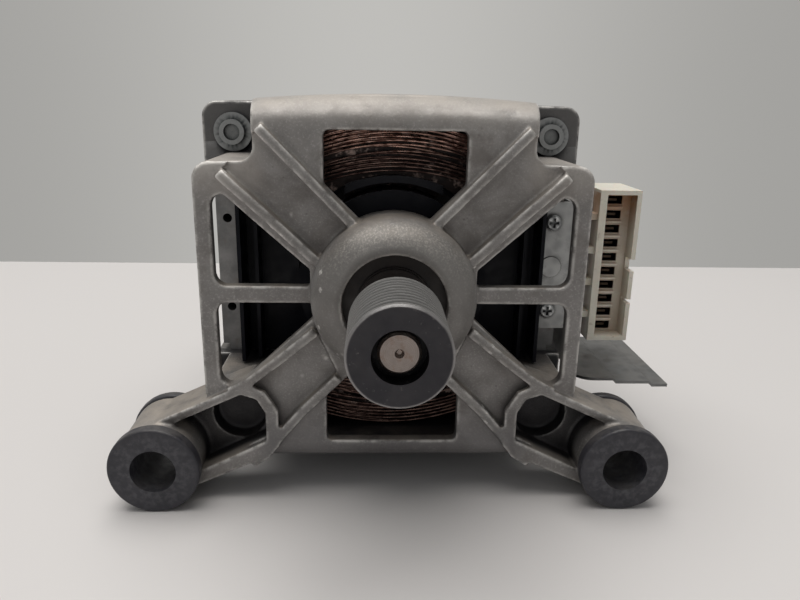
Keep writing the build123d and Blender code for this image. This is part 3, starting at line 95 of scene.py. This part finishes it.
class Surface(Graph):
    """A material, worked out from places on the object in metres."""

    def __init__(self, name):
        self.material = bpy.data.materials.new(name)
        self.material.use_nodes = True
        super().__init__(self.material.node_tree)
        output = self.node("ShaderNodeOutputMaterial")
        self.shader = self.node("ShaderNodeBsdfPrincipled")
        self.plug(output.inputs["Surface"], self.shader.outputs[0])
        self.coords = self.node("ShaderNodeTexCoord").outputs["Object"]

    # Where a point lies and how its surface stands

    def radius(self):
        """Distance from the rotor's axis."""
        x, y, z = self.split(self.coords)
        return self.math("SQRT", self.math("ADD", self.times(x, x), self.times(z, z)))

    def facing(self):
        """Components of the surface's own normal, in the object's frame."""
        return self.split(self.node("ShaderNodeNewGeometry").outputs["Normal"])

    def edges(self, start, end):
        """1 on sharp outer edges."""
        return self.ramp(self.node("ShaderNodeNewGeometry").outputs["Pointiness"], start, end)

    def shelter(self, reach, start, end):
        """1 where the surface lies deep in a cavity, 0 where it stands free."""
        made = self.node("ShaderNodeAmbientOcclusion", samples=6)
        made.inputs["Distance"].default_value = reach
        return self.ramp(made.outputs["AO"], start, end, 1.0, 0.0)

    def since(self, value, start, length):
        """How far a value is past start, counted in lengths."""
        return self.math("MULTIPLY_ADD", value, 1 / length, -start / length)

    # Patterns

    def stretch(self, scale=(1, 1, 1), offset=(0, 0, 0)):
        mapping = self.node("ShaderNodeMapping")
        self.plug(mapping.inputs["Vector"], self.coords)
        mapping.inputs["Location"].default_value = offset
        mapping.inputs["Scale"].default_value = scale
        return mapping.outputs[0]

    def noise(self, scale, detail, rough, vector=None, distortion=0.0):
        made = self.node("ShaderNodeTexNoise")
        self.plug(made.inputs["Vector"], vector or self.coords)
        made.inputs["Scale"].default_value = scale
        made.inputs["Detail"].default_value = detail
        made.inputs["Roughness"].default_value = rough
        made.inputs["Distortion"].default_value = distortion
        return made.outputs["Fac"]

    def patches(self, scale, detail, rough, start=0.3, end=0.7):
        return self.ramp(self.noise(scale, detail, rough), start, end)

    def uneven(self, scale, detail, low, high):
        """A measure that wanders between two values, such as a roughness."""
        return self.ramp(self.noise(scale, detail, 0.6), 0.3, 0.7, low, high)

    def cells(self, scale):
        made = self.node("ShaderNodeTexVoronoi")
        self.plug(made.inputs["Vector"], self.coords)
        made.inputs["Scale"].default_value = scale
        return made.outputs["Distance"]

    def dots(self, scale, size):
        return self.ramp(self.cells(scale), 0.0, size, 1.0, 0.0)

    def marks(self, first, second=0.0, detail=2.0):
        """Fine lines, as from turning, that lie where one or two measures are the same."""
        place = self.node("ShaderNodeCombineXYZ")
        self.plug(place.inputs[0], first)
        self.plug(place.inputs[1], second)
        return self.noise(1.0, detail, 0.5, place.outputs[0])

    # Colours

    def mix(self, share, low, high):
        made = self.node("ShaderNodeMix", data_type="RGBA")
        self.plug(made.inputs[0], share)
        self.plug(made.inputs[6], low)
        self.plug(made.inputs[7], high)
        return made.outputs[2]

    def mottle(self, scale, detail, rough, low, high):
        return self.mix(self.patches(scale, detail, rough), low, high)

    def cover(self, tone, mask, amount, color):
        """Lays a colour over a tone where the mask is 1."""
        return self.mix(self.times(mask, amount), tone, color)

    def dust(self, tone, amount, color, start=0.35, end=0.95, scale=90.0):
        """Pale dust that lies in patches on faces that look up."""
        lying = self.ramp(self.facing()[2], start, end)
        return self.cover(tone, self.times(lying, self.patches(scale, 5.0, 0.6, 0.3, 0.62)), amount, color)

    # The surface itself

    def bump(self, height, distance, strength, normal=None):
        made = self.node("ShaderNodeBump")
        made.inputs["Distance"].default_value = distance
        made.inputs["Strength"].default_value = strength
        self.plug(made.inputs["Height"], height)
        if normal:
            self.plug(made.inputs["Normal"], normal)
        return made.outputs[0]

    def finish(self, color, rough, metal=0.0, normal=None, **extra):
        sockets = self.shader.inputs
        self.plug(sockets["Base Color"], color)
        self.plug(sockets["Roughness"], rough)
        sockets["Metallic"].default_value = metal
        if normal:
            self.plug(sockets["Normal"], normal)
        for name, value in extra.items():
            sockets[name.replace("_", " ")].default_value = value
        return self.material


# ---------------------------------------------------------------- places where a finish changes
# In metres. Each is the start and end of a ramp along what its comment names.

# Castings
UNDERSIDE = (-0.028, -0.046)        # z
BETWEEN_LUGS = (0.044, 0.036)       # distance from the middle
HUB_RIM = (0.0235, 0.0215)          # radius
HUB_FACE = (0.0365, 0.034)          # y
CROWN_TOP = (0.050, 0.054)          # z
CROWN_PAINTED_LIGHT = (0.0445, 0.0535)       # z
SHELF_SIDE = (0.034, 0.041)         # distance from the middle
SHELF_TOP = (0.024, 0.036)          # z
EAR_FLANGE = (0.0722, 0.0725)       # y
CASTING_INSIDE = (0.0385, 0.0425)   # y

# Where the crown and the shelves beside it start to turn in, over what height, and by how much
CROWN_TURN = (0.0445, 0.0105)
SHELF_TURN = (0.0305, 0.0070)
SHELF_TURN_SIDE = (0.037, 0.051)    # distance from the middle
TURN_IN = 0.0045

# Pulley
GROOVE_TO_LAND = (0.01165, 0.0121)  # radius
PULLEY_RIM = (0.01145, 0.0119)      # radius
PULLEY_FACE_Y = -0.01195
PULLEY_CHAMFER_Y = -0.0114

# Coil frame, core and winding
FRAME_LIP = (0.0524, 0.0518)        # y
CORE_INSIDE = (0.0505, 0.0495)      # radius
LOWER_TURNS = (0.0412, 0.0385)      # z

# Connector
SOCKET_DEPTH = (0.0742, 0.0795)     # y
SCORCH_HEIGHT = (0.010, 0.0255)     # z
BEHIND_MOUTH = (0.0741, 0.0746)     # y
BELOW_TOP_WALL = (0.0257, 0.0252)   # z
INSIDE_RIGHT_WALL = (0.0832, 0.0827)  # x
SLOT_DEPTH = (0.0803, 0.0808)       # y


# ---------------------------------------------------------------- materials

def cast_aluminium():
    """Specks, dents and pits, then grime and dust, bright where it is rubbed; painted shade low down between the
    lugs and in its hollows, and painted light on the crown, the hub and the shelves.
    """
    g = Surface("cast_aluminium")
    x, y, z = g.split(g.coords)
    aside = g.math("ABSOLUTE", x)

    tone = g.mottle(30, 6, 0.62, (0.165, 0.157, 0.152), (0.285, 0.274, 0.265))
    tone = g.cover(tone, g.patches(1700, 3, 0.65, 0.5, 0.72), 0.35, (0.5, 0.485, 0.465))
    dents = g.times(g.dots(150, 0.16), g.patches(90, 2, 0.5, 0.52, 0.58))
    tone = g.cover(tone, dents, 0.7, (0.62, 0.6, 0.57))
    pits = g.times(g.dots(620, 0.3), g.patches(240, 3, 0.6, 0.54, 0.68))
    tone = g.cover(tone, pits, 0.6, (0.075, 0.07, 0.068))

    grime = g.ramp(g.noise(60, 7, 0.68, g.stretch(offset=(0.3, 0.1, 0.7)), 0.6), 0.46, 0.7)
    tone = g.cover(tone, grime, 0.6, (0.13, 0.115, 0.105))
    # Painted shade: the casting gets darker towards the bottom between the lugs, where less light falls from above.
    painted_shade_below = g.times(g.ramp(z, *UNDERSIDE), g.ramp(aside, *BETWEEN_LUGS))
    tone = g.cover(tone, painted_shade_below, 0.5, (0.09, 0.088, 0.095))
    # Painted shade: darker in the casting's small hollows, where the AO node finds it sheltered.
    tone = g.cover(tone, g.shelter(0.006, 0.45, 0.9), 0.6, (0.08, 0.07, 0.065))
    tone = g.dust(tone, 0.8, (0.43, 0.38, 0.33))

    hub = g.times(g.ramp(g.radius(), *HUB_RIM), g.ramp(y, *HUB_FACE))
    # Painted highlight: up-facing faces of the crown top and the hub are lit pale in gritty specks.
    painted_top_highlight = g.times(g.ramp(g.facing()[2], 0.1, 0.7), g.larger(hub, g.ramp(z, *CROWN_TOP)))
    highlight_grit = g.patches(1700, 4, 0.7, 0.44, 0.66)
    tone = g.cover(tone, hub, 0.5, (0.15, 0.142, 0.132))
    tone = g.cover(tone, g.times(painted_top_highlight, highlight_grit), 0.5, (0.5, 0.47, 0.425))
    # Painted light: the upper front of the crown and the shelves beside the arms are paler, as where their faces
    # turn up towards the light.
    shelf = g.times(g.ramp(aside, *SHELF_SIDE), g.ramp(z, *SHELF_TOP))
    painted_upper_light = g.times(g.larger(g.ramp(z, *CROWN_PAINTED_LIGHT), shelf), g.patches(120, 5, 0.65, 0.2, 0.5))
    tone = g.cover(tone, painted_upper_light, 0.6, (0.43, 0.40, 0.37))
    tone = g.cover(tone, g.ramp(y, *EAR_FLANGE), 0.78, (0.045, 0.048, 0.052))

    worn = g.times(g.edges(0.505, 0.555), g.patches(260, 5, 0.65, 0.34, 0.6))
    tone = g.cover(tone, worn, 0.85, (0.72, 0.70, 0.67))
    # Painted shade: near black deep inside the casting, behind its front, where it is sheltered.
    painted_deep_shade = g.times(g.shelter(0.03, 0.3, 0.72), g.ramp(y, *CASTING_INSIDE))
    tone = g.cover(tone, painted_deep_shade, 0.93, (0.016, 0.015, 0.019))

    grain = g.math("ADD", g.times(g.noise(1500, 3, 0.6), 0.6), g.times(g.noise(420, 3, 0.5), 0.8))
    normal = g.bump(grain, 0.00018, 0.6)
    shelf_turn = g.times(g.since(z, *SHELF_TURN), g.ramp(aside, *SHELF_TURN_SIDE, 0.0, 0.7))
    turn = g.larger(g.larger(g.since(z, *CROWN_TURN), shelf_turn), 0.0)
    turn = g.math("MINIMUM", turn, 1.0)
    normal = g.bump(g.times(turn, turn, -1.0), TURN_IN, 1.0, normal)
    return g.finish(tone, g.uneven(160, 4, 0.44, 0.62), 0.5, normal)


def rubber():
    g = Surface("bush_rubber")
    tone = g.mottle(90, 5, 0.6, (0.022, 0.022, 0.029), (0.031, 0.030, 0.038))
    tone = g.dust(tone, 0.35, (0.17, 0.155, 0.14), 0.2, 0.9, 260.0)
    flecks = g.times(g.dots(330, 0.07), g.patches(150, 2, 0.5, 0.6, 0.64))
    tone = g.cover(tone, flecks, 0.7, (0.3, 0.3, 0.32))
    worn = g.times(g.edges(0.51, 0.58), g.patches(500, 4, 0.6, 0.4, 0.66))
    tone = g.cover(tone, worn, 0.4, (0.12, 0.12, 0.13))
    return g.finish(tone, g.uneven(350, 4, 0.42, 0.58), 0.0, g.bump(g.noise(900, 4, 0.6), 0.00008, 0.5))


def pulley_steel():
    """Rubbed lands between grooves painted near black as shade, a dark turned face and a bright rim."""
    g = Surface("dark_steel")
    y = g.split(g.coords)[1]
    r = g.radius()
    # Painted shade: the grooves between the lands are near black.
    tone = g.mix(g.ramp(r, *GROOVE_TO_LAND), (0.002, 0.002, 0.003), (0.26, 0.255, 0.25))
    face = g.math("LESS_THAN", y, PULLEY_FACE_Y)
    tone = g.mix(face, tone, g.mottle(140, 5, 0.6, (0.028, 0.027, 0.032), (0.040, 0.038, 0.042)))
    rim = g.times(g.ramp(r, *PULLEY_RIM), g.math("LESS_THAN", y, PULLEY_CHAMFER_Y))
    paleness = g.ramp(g.noise(260, 3, 0.6), 0.3, 0.6, 0.35, 1.0)
    tone = g.cover(tone, rim, paleness, (0.26, 0.25, 0.25))
    tone = g.cover(tone, g.patches(600, 4, 0.65, 0.6, 0.72), 0.35, (0.2, 0.19, 0.18))
    normal = g.bump(g.times(g.marks(g.times(r, 9000)), face), 0.00006, 0.5)
    return g.finish(tone, g.uneven(420, 4, 0.34, 0.52), 0.6, normal)


def turned_steel(name, low, high, rough_low=0.25, rough_high=0.42, rust=0.0):
    """Turned metal with fine marks round the rotor's axis, and rust stains where asked for."""
    g = Surface(name)
    y = g.split(g.coords)[1]
    marks = g.marks(g.times(g.radius(), 12000), g.times(y, 5000))
    tone = g.mix(g.ramp(marks, 0.3, 0.7), low, high)
    if rust:
        tone = g.cover(tone, g.patches(480, 6, 0.65, 0.46, 0.66), rust, (0.2, 0.12, 0.085))
    return g.finish(tone, g.uneven(700, 4, rough_low, rough_high), 0.85, g.bump(marks, 0.00004, 0.4))


def moulded(name, low, high, rough=(0.35, 0.5), dusty=0.0, tint=None, lip=False):
    """Moulded plastic, dusty where asked for. With lip, it is duller and the up-facing top of the coil frame's lip
    is pale, partly dust and partly a painted highlight.
    """
    g = Surface(name)
    tone = g.mottle(120, 5, 0.6, low, high)
    if dusty:
        tone = g.dust(tone, dusty, tint, 0.15, 0.9, 150.0)
    if lip:
        y = g.split(g.coords)[1]
        # Partly dust, partly painted highlight: the up-facing top of the coil frame's lip is pale.
        paleness = g.times(g.ramp(g.facing()[2], 0.45, 0.85), g.ramp(y, *FRAME_LIP))
        paleness = g.times(paleness, g.patches(420, 4, 0.65, 0.35, 0.6))
        tone = g.cover(tone, paleness, 0.7, (0.22, 0.22, 0.23))
    return g.finish(
        tone, g.uneven(300, 4, *rough), 0.0, g.bump(g.noise(1300, 3, 0.6), 0.00005, 0.5),
        Specular_IOR_Level=0.18 if lip else 0.4,
    )


def ivory():
    """Pale plastic, browner deep inside its socket where sheltered, scorched near the top, with painted shade in
    its slots.
    """
    g = Surface("ivory_plastic")
    x, y, z = g.split(g.coords)
    tone = g.mottle(90, 5, 0.6, (0.70, 0.655, 0.55), (0.80, 0.765, 0.665))
    # Browner deep in the socket, where the AO node finds it sheltered.
    inside = g.times(g.ramp(y, *SOCKET_DEPTH), g.shelter(0.012, 0.35, 0.9))
    tone = g.cover(tone, inside, 0.75, (0.36, 0.27, 0.2))
    scorch = g.times(g.ramp(z, *SCORCH_HEIGHT), g.patches(160, 4, 0.6, 0.25, 0.5), g.ramp(y, *BEHIND_MOUTH))
    within_walls = g.times(g.ramp(z, *BELOW_TOP_WALL), g.ramp(x, *INSIDE_RIGHT_WALL))
    tone = g.cover(tone, g.times(scorch, within_walls), 0.85, (0.40, 0.19, 0.07))
    # Painted shade: near black deep in the slots, where they are sheltered.
    hollow = g.times(g.ramp(y, *SLOT_DEPTH), g.shelter(0.008, 0.3, 0.75))
    tone = g.mix(hollow, tone, (0.012, 0.008, 0.009))
    tone = g.cover(tone, g.patches(420, 4, 0.62, 0.6, 0.7), 0.35, (0.3, 0.22, 0.14))
    return g.finish(
        tone, g.uneven(300, 3, 0.32, 0.48), 0.0, g.bump(g.noise(1000, 3, 0.6), 0.00004, 0.4),
        Subsurface_Weight=0.12, Subsurface_Scale=0.001,
    )


def sheet_zinc(name, low, high):
    """Galvanised sheet: spangle, stains and dust, and painted shade in its creases."""
    g = Surface(name)
    spangle = g.ramp(g.cells(260), 0.1, 0.7)
    tone = g.mix(g.times(spangle, g.noise(60, 4, 0.6)), low, high)
    tone = g.cover(tone, g.patches(190, 6, 0.65, 0.5, 0.7), 0.45, (0.12, 0.115, 0.11))
    tone = g.dust(tone, 0.3, (0.3, 0.28, 0.26), 0.3, 0.95, 120.0)
    # Painted shade: dark in the creases and tight corners of the sheet.
    tone = g.cover(tone, g.shelter(0.0015, 0.6, 0.97), 0.8, (0.035, 0.034, 0.034))
    return g.finish(tone, g.uneven(240, 4, 0.32, 0.5), 0.75, g.bump(g.noise(800, 3, 0.6), 0.00004, 0.4))


def lamination():
    """Stacked sheets whose edges show as stripes, stained, dusty, with painted shade inside the core."""
    g = Surface("lamination")
    y = g.split(g.coords)[1]
    across = g.math("SUBTRACT", 1.0, g.math("ABSOLUTE", g.facing()[1]))
    stripes = g.times(g.marks(g.times(y, 2000), detail=0.0), across)
    tone = g.mottle(90, 6, 0.65, (0.15, 0.15, 0.15), (0.27, 0.265, 0.26))
    tone = g.mix(g.ramp(stripes, 0.35, 0.7), tone, (0.08, 0.075, 0.075))
    tone = g.cover(tone, g.patches(160, 6, 0.66, 0.52, 0.7), 0.4, (0.14, 0.1, 0.075))
    tone = g.dust(tone, 0.7, (0.2, 0.185, 0.168), 0.4, 0.95, 100.0)
    # Painted shade: near black inside the core's bore, where it is sheltered.
    painted_deep_shade = g.times(g.ramp(g.radius(), *CORE_INSIDE), g.shelter(0.02, 0.35, 0.95))
    tone = g.cover(tone, painted_deep_shade, 0.9, (0.012, 0.011, 0.013))
    return g.finish(tone, g.uneven(240, 4, 0.4, 0.6), 0.5, g.bump(stripes, 0.0001, 0.5))


def copper(name, dark, bright, rough=(0.24, 0.4), metal=0.8, shade=False):
    """Copper with lighter patches. With shade, painted shade darkens the lower turns of the upper winding."""
    g = Surface(name)
    tone = g.mix(g.ramp(g.noise(900, 2, 0.5, g.stretch((0.35, 1.0, 1.0))), 0.34, 0.66), dark, bright)
    tone = g.cover(tone, g.patches(260, 3, 0.6, 0.55, 0.72), 0.6, (0.95, 0.72, 0.64))
    if shade:
        z = g.split(g.coords)[2]
        # Painted shade: the lower turns of the upper winding darken, as less light falls there from above.
        tone = g.cover(tone, g.ramp(z, *LOWER_TURNS), 0.72, (0.02, 0.013, 0.014))
    return g.finish(tone, g.uneven(500, 3, *rough), metal)


def screw_zinc(name, low, high, rub):
    """Plated steel with grime, edges rubbed bright by the amount rub, and painted shade in its recesses."""
    g = Surface(name)
    tone = g.mottle(420, 5, 0.65, low, high)
    tone = g.cover(tone, g.patches(900, 5, 0.65, 0.5, 0.68), 0.5, (0.07, 0.065, 0.06))
    tone = g.cover(tone, g.edges(0.505, 0.555), rub, (0.7, 0.71, 0.71))
    # Painted shade: near black in the recesses, where the AO node finds them sheltered.
    tone = g.cover(tone, g.shelter(0.003, 0.35, 0.85), 0.85, (0.03, 0.032, 0.034))
    return g.finish(tone, g.uneven(600, 4, 0.28, 0.48), 0.8, g.bump(g.noise(1500, 3, 0.6), 0.00005, 0.4))


black = moulded("black_plastic", (0.003, 0.0035, 0.007), (0.006, 0.0065, 0.011), (0.3, 0.5), lip=True)
fan_black = moulded("fan_plastic", (0.0025, 0.003, 0.006), (0.005, 0.0055, 0.009), (0.4, 0.6), lip=True)
holder_brown = moulded("holder_plastic", (0.05, 0.022, 0.012), (0.09, 0.045, 0.028), (0.4, 0.6))
seal = moulded("seal_rubber", (0.012, 0.01, 0.01), (0.03, 0.024, 0.022), (0.4, 0.6), 0.3, (0.16, 0.12, 0.1))
carbon = moulded("carbon", (0.015, 0.015, 0.016), (0.035, 0.035, 0.036))
magnet = moulded("magnet", (0.04, 0.04, 0.045), (0.09, 0.09, 0.095), (0.3, 0.45))

steel = turned_steel("steel", (0.34, 0.32, 0.3), (0.5, 0.47, 0.44))
shaft_steel = turned_steel("shaft_steel", (0.2, 0.165, 0.15), (0.36, 0.32, 0.295), 0.3, 0.48, rust=0.6)
# Painted shade: a much darker copy of the bearing steel, for the spacer and front bearing rings deep in the hub.
collar_steel_painted_shade = turned_steel("collar_steel_painted_shade", (0.03, 0.027, 0.026), (0.07, 0.062, 0.06), 0.35, 0.5)
oxidised = turned_steel("oxidised_contact", (0.03, 0.022, 0.016), (0.085, 0.06, 0.04), 0.4, 0.6)
spring = turned_steel("spring_steel", (0.13, 0.13, 0.135), (0.24, 0.24, 0.25))
cage_brass = turned_steel("brass_cage", (0.42, 0.29, 0.1), (0.6, 0.44, 0.18))
contact = turned_steel("contact_brass", (0.34, 0.28, 0.17), (0.5, 0.43, 0.28))

wire = copper("copper_wire", (0.16, 0.075, 0.058), (0.88, 0.56, 0.46), shade=True)
# Dark varnish, darkened further as painted shade for the gaps between the turns.
wound_varnish_and_shade = copper("wound_core_varnish_and_shade", (0.010, 0.006, 0.006), (0.03, 0.017, 0.015), (0.35, 0.55), 0.5)
bars = copper("commutator_copper", (0.34, 0.14, 0.07), (0.58, 0.3, 0.18))

zinc_sheet = sheet_zinc("zinc_sheet", (0.26, 0.265, 0.265), (0.42, 0.425, 0.42))
guide_sheet = sheet_zinc("guide_sheet", (0.15, 0.152, 0.153), (0.25, 0.253, 0.25))
zinc_screw = screw_zinc("zinc_screw", (0.11, 0.115, 0.12), (0.3, 0.31, 0.31), 0.8)
nut_steel = screw_zinc("nut_steel", (0.035, 0.040, 0.042), (0.085, 0.094, 0.096), 0.3)
bolt_steel = screw_zinc("bolt_steel", (0.012, 0.017, 0.018), (0.035, 0.045, 0.047), 0.25)

finishes = (
    (cast_aluminium(), ("front_bracket", "rear_bracket")),
    (rubber(), ("left_mount_bush", "right_mount_bush")),
    (pulley_steel(), ("pulley",)),
    (shaft_steel, ("shaft",)),
    (collar_steel_painted_shade, ("bearing_spacer", "front_bearing_outer_ring", "front_bearing_inner_ring")),
    (steel, ("front_bearing_balls", "rear_bearing_balls", "rear_bearing_outer_ring", "rear_bearing_inner_ring")),
    (cage_brass, ("front_bearing_cage", "rear_bearing_cage")),
    (seal, ("front_bearing_seals", "rear_bearing_seals")),
    (spring, ("bearing_circlip", "left_brush_spring", "right_brush_spring")),
    (fan_black, ("fan",)),
    (lamination(), ("armature_core", "stator_core")),
    (wound_varnish_and_shade, ("armature_winding", "upper_winding_core", "lower_winding_core", "tacho_coil")),
    (bars, ("commutator",)),
    (wire, ("upper_field_winding", "lower_field_winding")),
    (black, ("front_insulator", "rear_insulator", "tacho_cover", "thermal_protector")),
    (ivory(), ("connector_housing",)),
    (oxidised, ("connector_terminals",)),
    (zinc_sheet, ("connector_bracket",)),
    (guide_sheet, ("cable_guide",)),
    (zinc_screw, ("bracket_screws", "brush_screws")),
    (bolt_steel, ("through_bolts",)),
    (nut_steel, ("flange_nuts",)),
    (holder_brown, ("left_brush_holder", "right_brush_holder")),
    (carbon, ("left_carbon_brush", "right_carbon_brush")),
    (contact, ("left_brush_cap", "right_brush_cap")),
    (magnet, ("tacho_magnet",)),
)
for material, names in finishes:
    for name in names:
        slots = nodes[name].data.materials
        if len(slots):
            for index in range(len(slots)):
                slots[index] = material
        else:
            slots.append(material)


# ---------------------------------------------------------------- shape finish of the castings

def soften(name, voxel, passes):
    """Evens a casting's corners out: a fine skin over its solid, then smoothed."""
    piece = nodes[name]
    skin = piece.modifiers.new("skin", "REMESH")
    skin.mode = "VOXEL"
    skin.voxel_size = voxel
    skin.use_smooth_shade = True
    even = piece.modifiers.new("even", "SMOOTH")
    even.factor = 0.5
    even.iterations = passes


soften("front_bracket", voxel=0.00045, passes=5)
soften("rear_bracket", voxel=0.0006, passes=4)


# ---------------------------------------------------------------- stage, light and camera

TABLE_REACH = 3.0           # to the left, the right and the front
TABLE_BACK_EDGE = 0.348
AMBIENT = 0.21              # the room's light on the object
WALL = (0.52, 0.365)        # the wall's strength straight ahead and far aside
WALL_TURN = 0.55            # the direction's x at which it is far aside


def plane(name, low, high, z):
    mesh = bpy.data.meshes.new(name)
    mesh.from_pydata(
        [(low[0], low[1], z), (high[0], low[1], z), (high[0], high[1], z), (low[0], high[1], z)], [], [(0, 1, 2, 3)]
    )
    made = bpy.data.objects.new(name, mesh)
    bpy.context.scene.collection.objects.link(made)
    return made


table = plane("table", (-TABLE_REACH, -TABLE_REACH), (TABLE_REACH, TABLE_BACK_EDGE), cad_box[0].z)
table_top = Surface("table_top")
table_tone = table_top.mix(table_top.noise(3, 3, 0.5), (0.70, 0.675, 0.66), (0.72, 0.693, 0.678))
table.data.materials.append(table_top.finish(table_tone, 0.5))

world = bpy.data.worlds.new("room")
bpy.context.scene.world = world
world.use_nodes = True
room = Graph(world.node_tree)
ambient = room.background((0.96, 0.98, 1.0), AMBIENT)
direction = room.split(room.node("ShaderNodeTexCoord").outputs["Generated"])
wall = room.background(
    (1.0, 0.985, 0.945), room.ramp(room.math("ABSOLUTE", direction[0]), 0.0, WALL_TURN, *WALL)
)
rays = room.node("ShaderNodeLightPath").outputs
seen = room.larger(rays["Is Camera Ray"], room.larger(rays["Is Glossy Ray"], rays["Is Transmission Ray"]))
blend = room.node("ShaderNodeMixShader")
for socket, value in zip(blend.inputs, (seen, ambient, wall)):
    room.plug(socket, value)
room.plug(room.node("ShaderNodeOutputWorld").inputs[0], blend.outputs[0])


def area_light(name, place, target, size, power, color):
    data = bpy.data.lights.new(name, "AREA")
    data.shape = "SQUARE"
    data.size = size
    data.energy = power
    data.color = color
    made = bpy.data.objects.new(name, data)
    bpy.context.scene.collection.objects.link(made)
    made.location = place
    made.rotation_euler = (Vector(target) - Vector(place)).to_track_quat("-Z", "Y").to_euler()


area_light("key", (-0.15, 0.22, 1.5), (0, 0.05, 0), size=1.5, power=25, color=(1.0, 0.985, 0.96))
area_light("fill", (-0.7, -1.1, 0.9), (0, 0, 0), size=1.4, power=1.3, color=(0.97, 0.985, 1.0))

# The photograph's camera: its place in metres, then in radians how far it is turned right, tipped down and rolled
EYE = Vector((-0.00599, -0.15061, 0.05394))
TURN, DIP, ROLL = 0.0415, 0.2854, 0.018
FRAME_PIXELS = 800
FOCAL_PIXELS = 680
SENSOR_WIDTH = 36           # millimetres

ahead = Vector((math.sin(TURN) * math.cos(DIP), math.cos(TURN) * math.cos(DIP), -math.sin(DIP)))
level = Vector((math.cos(TURN), -math.sin(TURN), 0))
above = level.cross(ahead)
right = math.cos(ROLL) * level + math.sin(ROLL) * above
up = -math.sin(ROLL) * level + math.cos(ROLL) * above
camera_data = bpy.data.cameras.new("camera")
camera_data.sensor_width = SENSOR_WIDTH
camera_data.lens = SENSOR_WIDTH * FOCAL_PIXELS / FRAME_PIXELS
camera_data.clip_start = 0.01
camera = bpy.data.objects.new("camera", camera_data)
bpy.context.scene.collection.objects.link(camera)
camera.matrix_world = Matrix.Translation(EYE) @ Matrix((right, up, -ahead)).transposed().to_4x4()
bpy.context.scene.camera = camera
bpy.context.scene.view_settings.view_transform = "Standard"
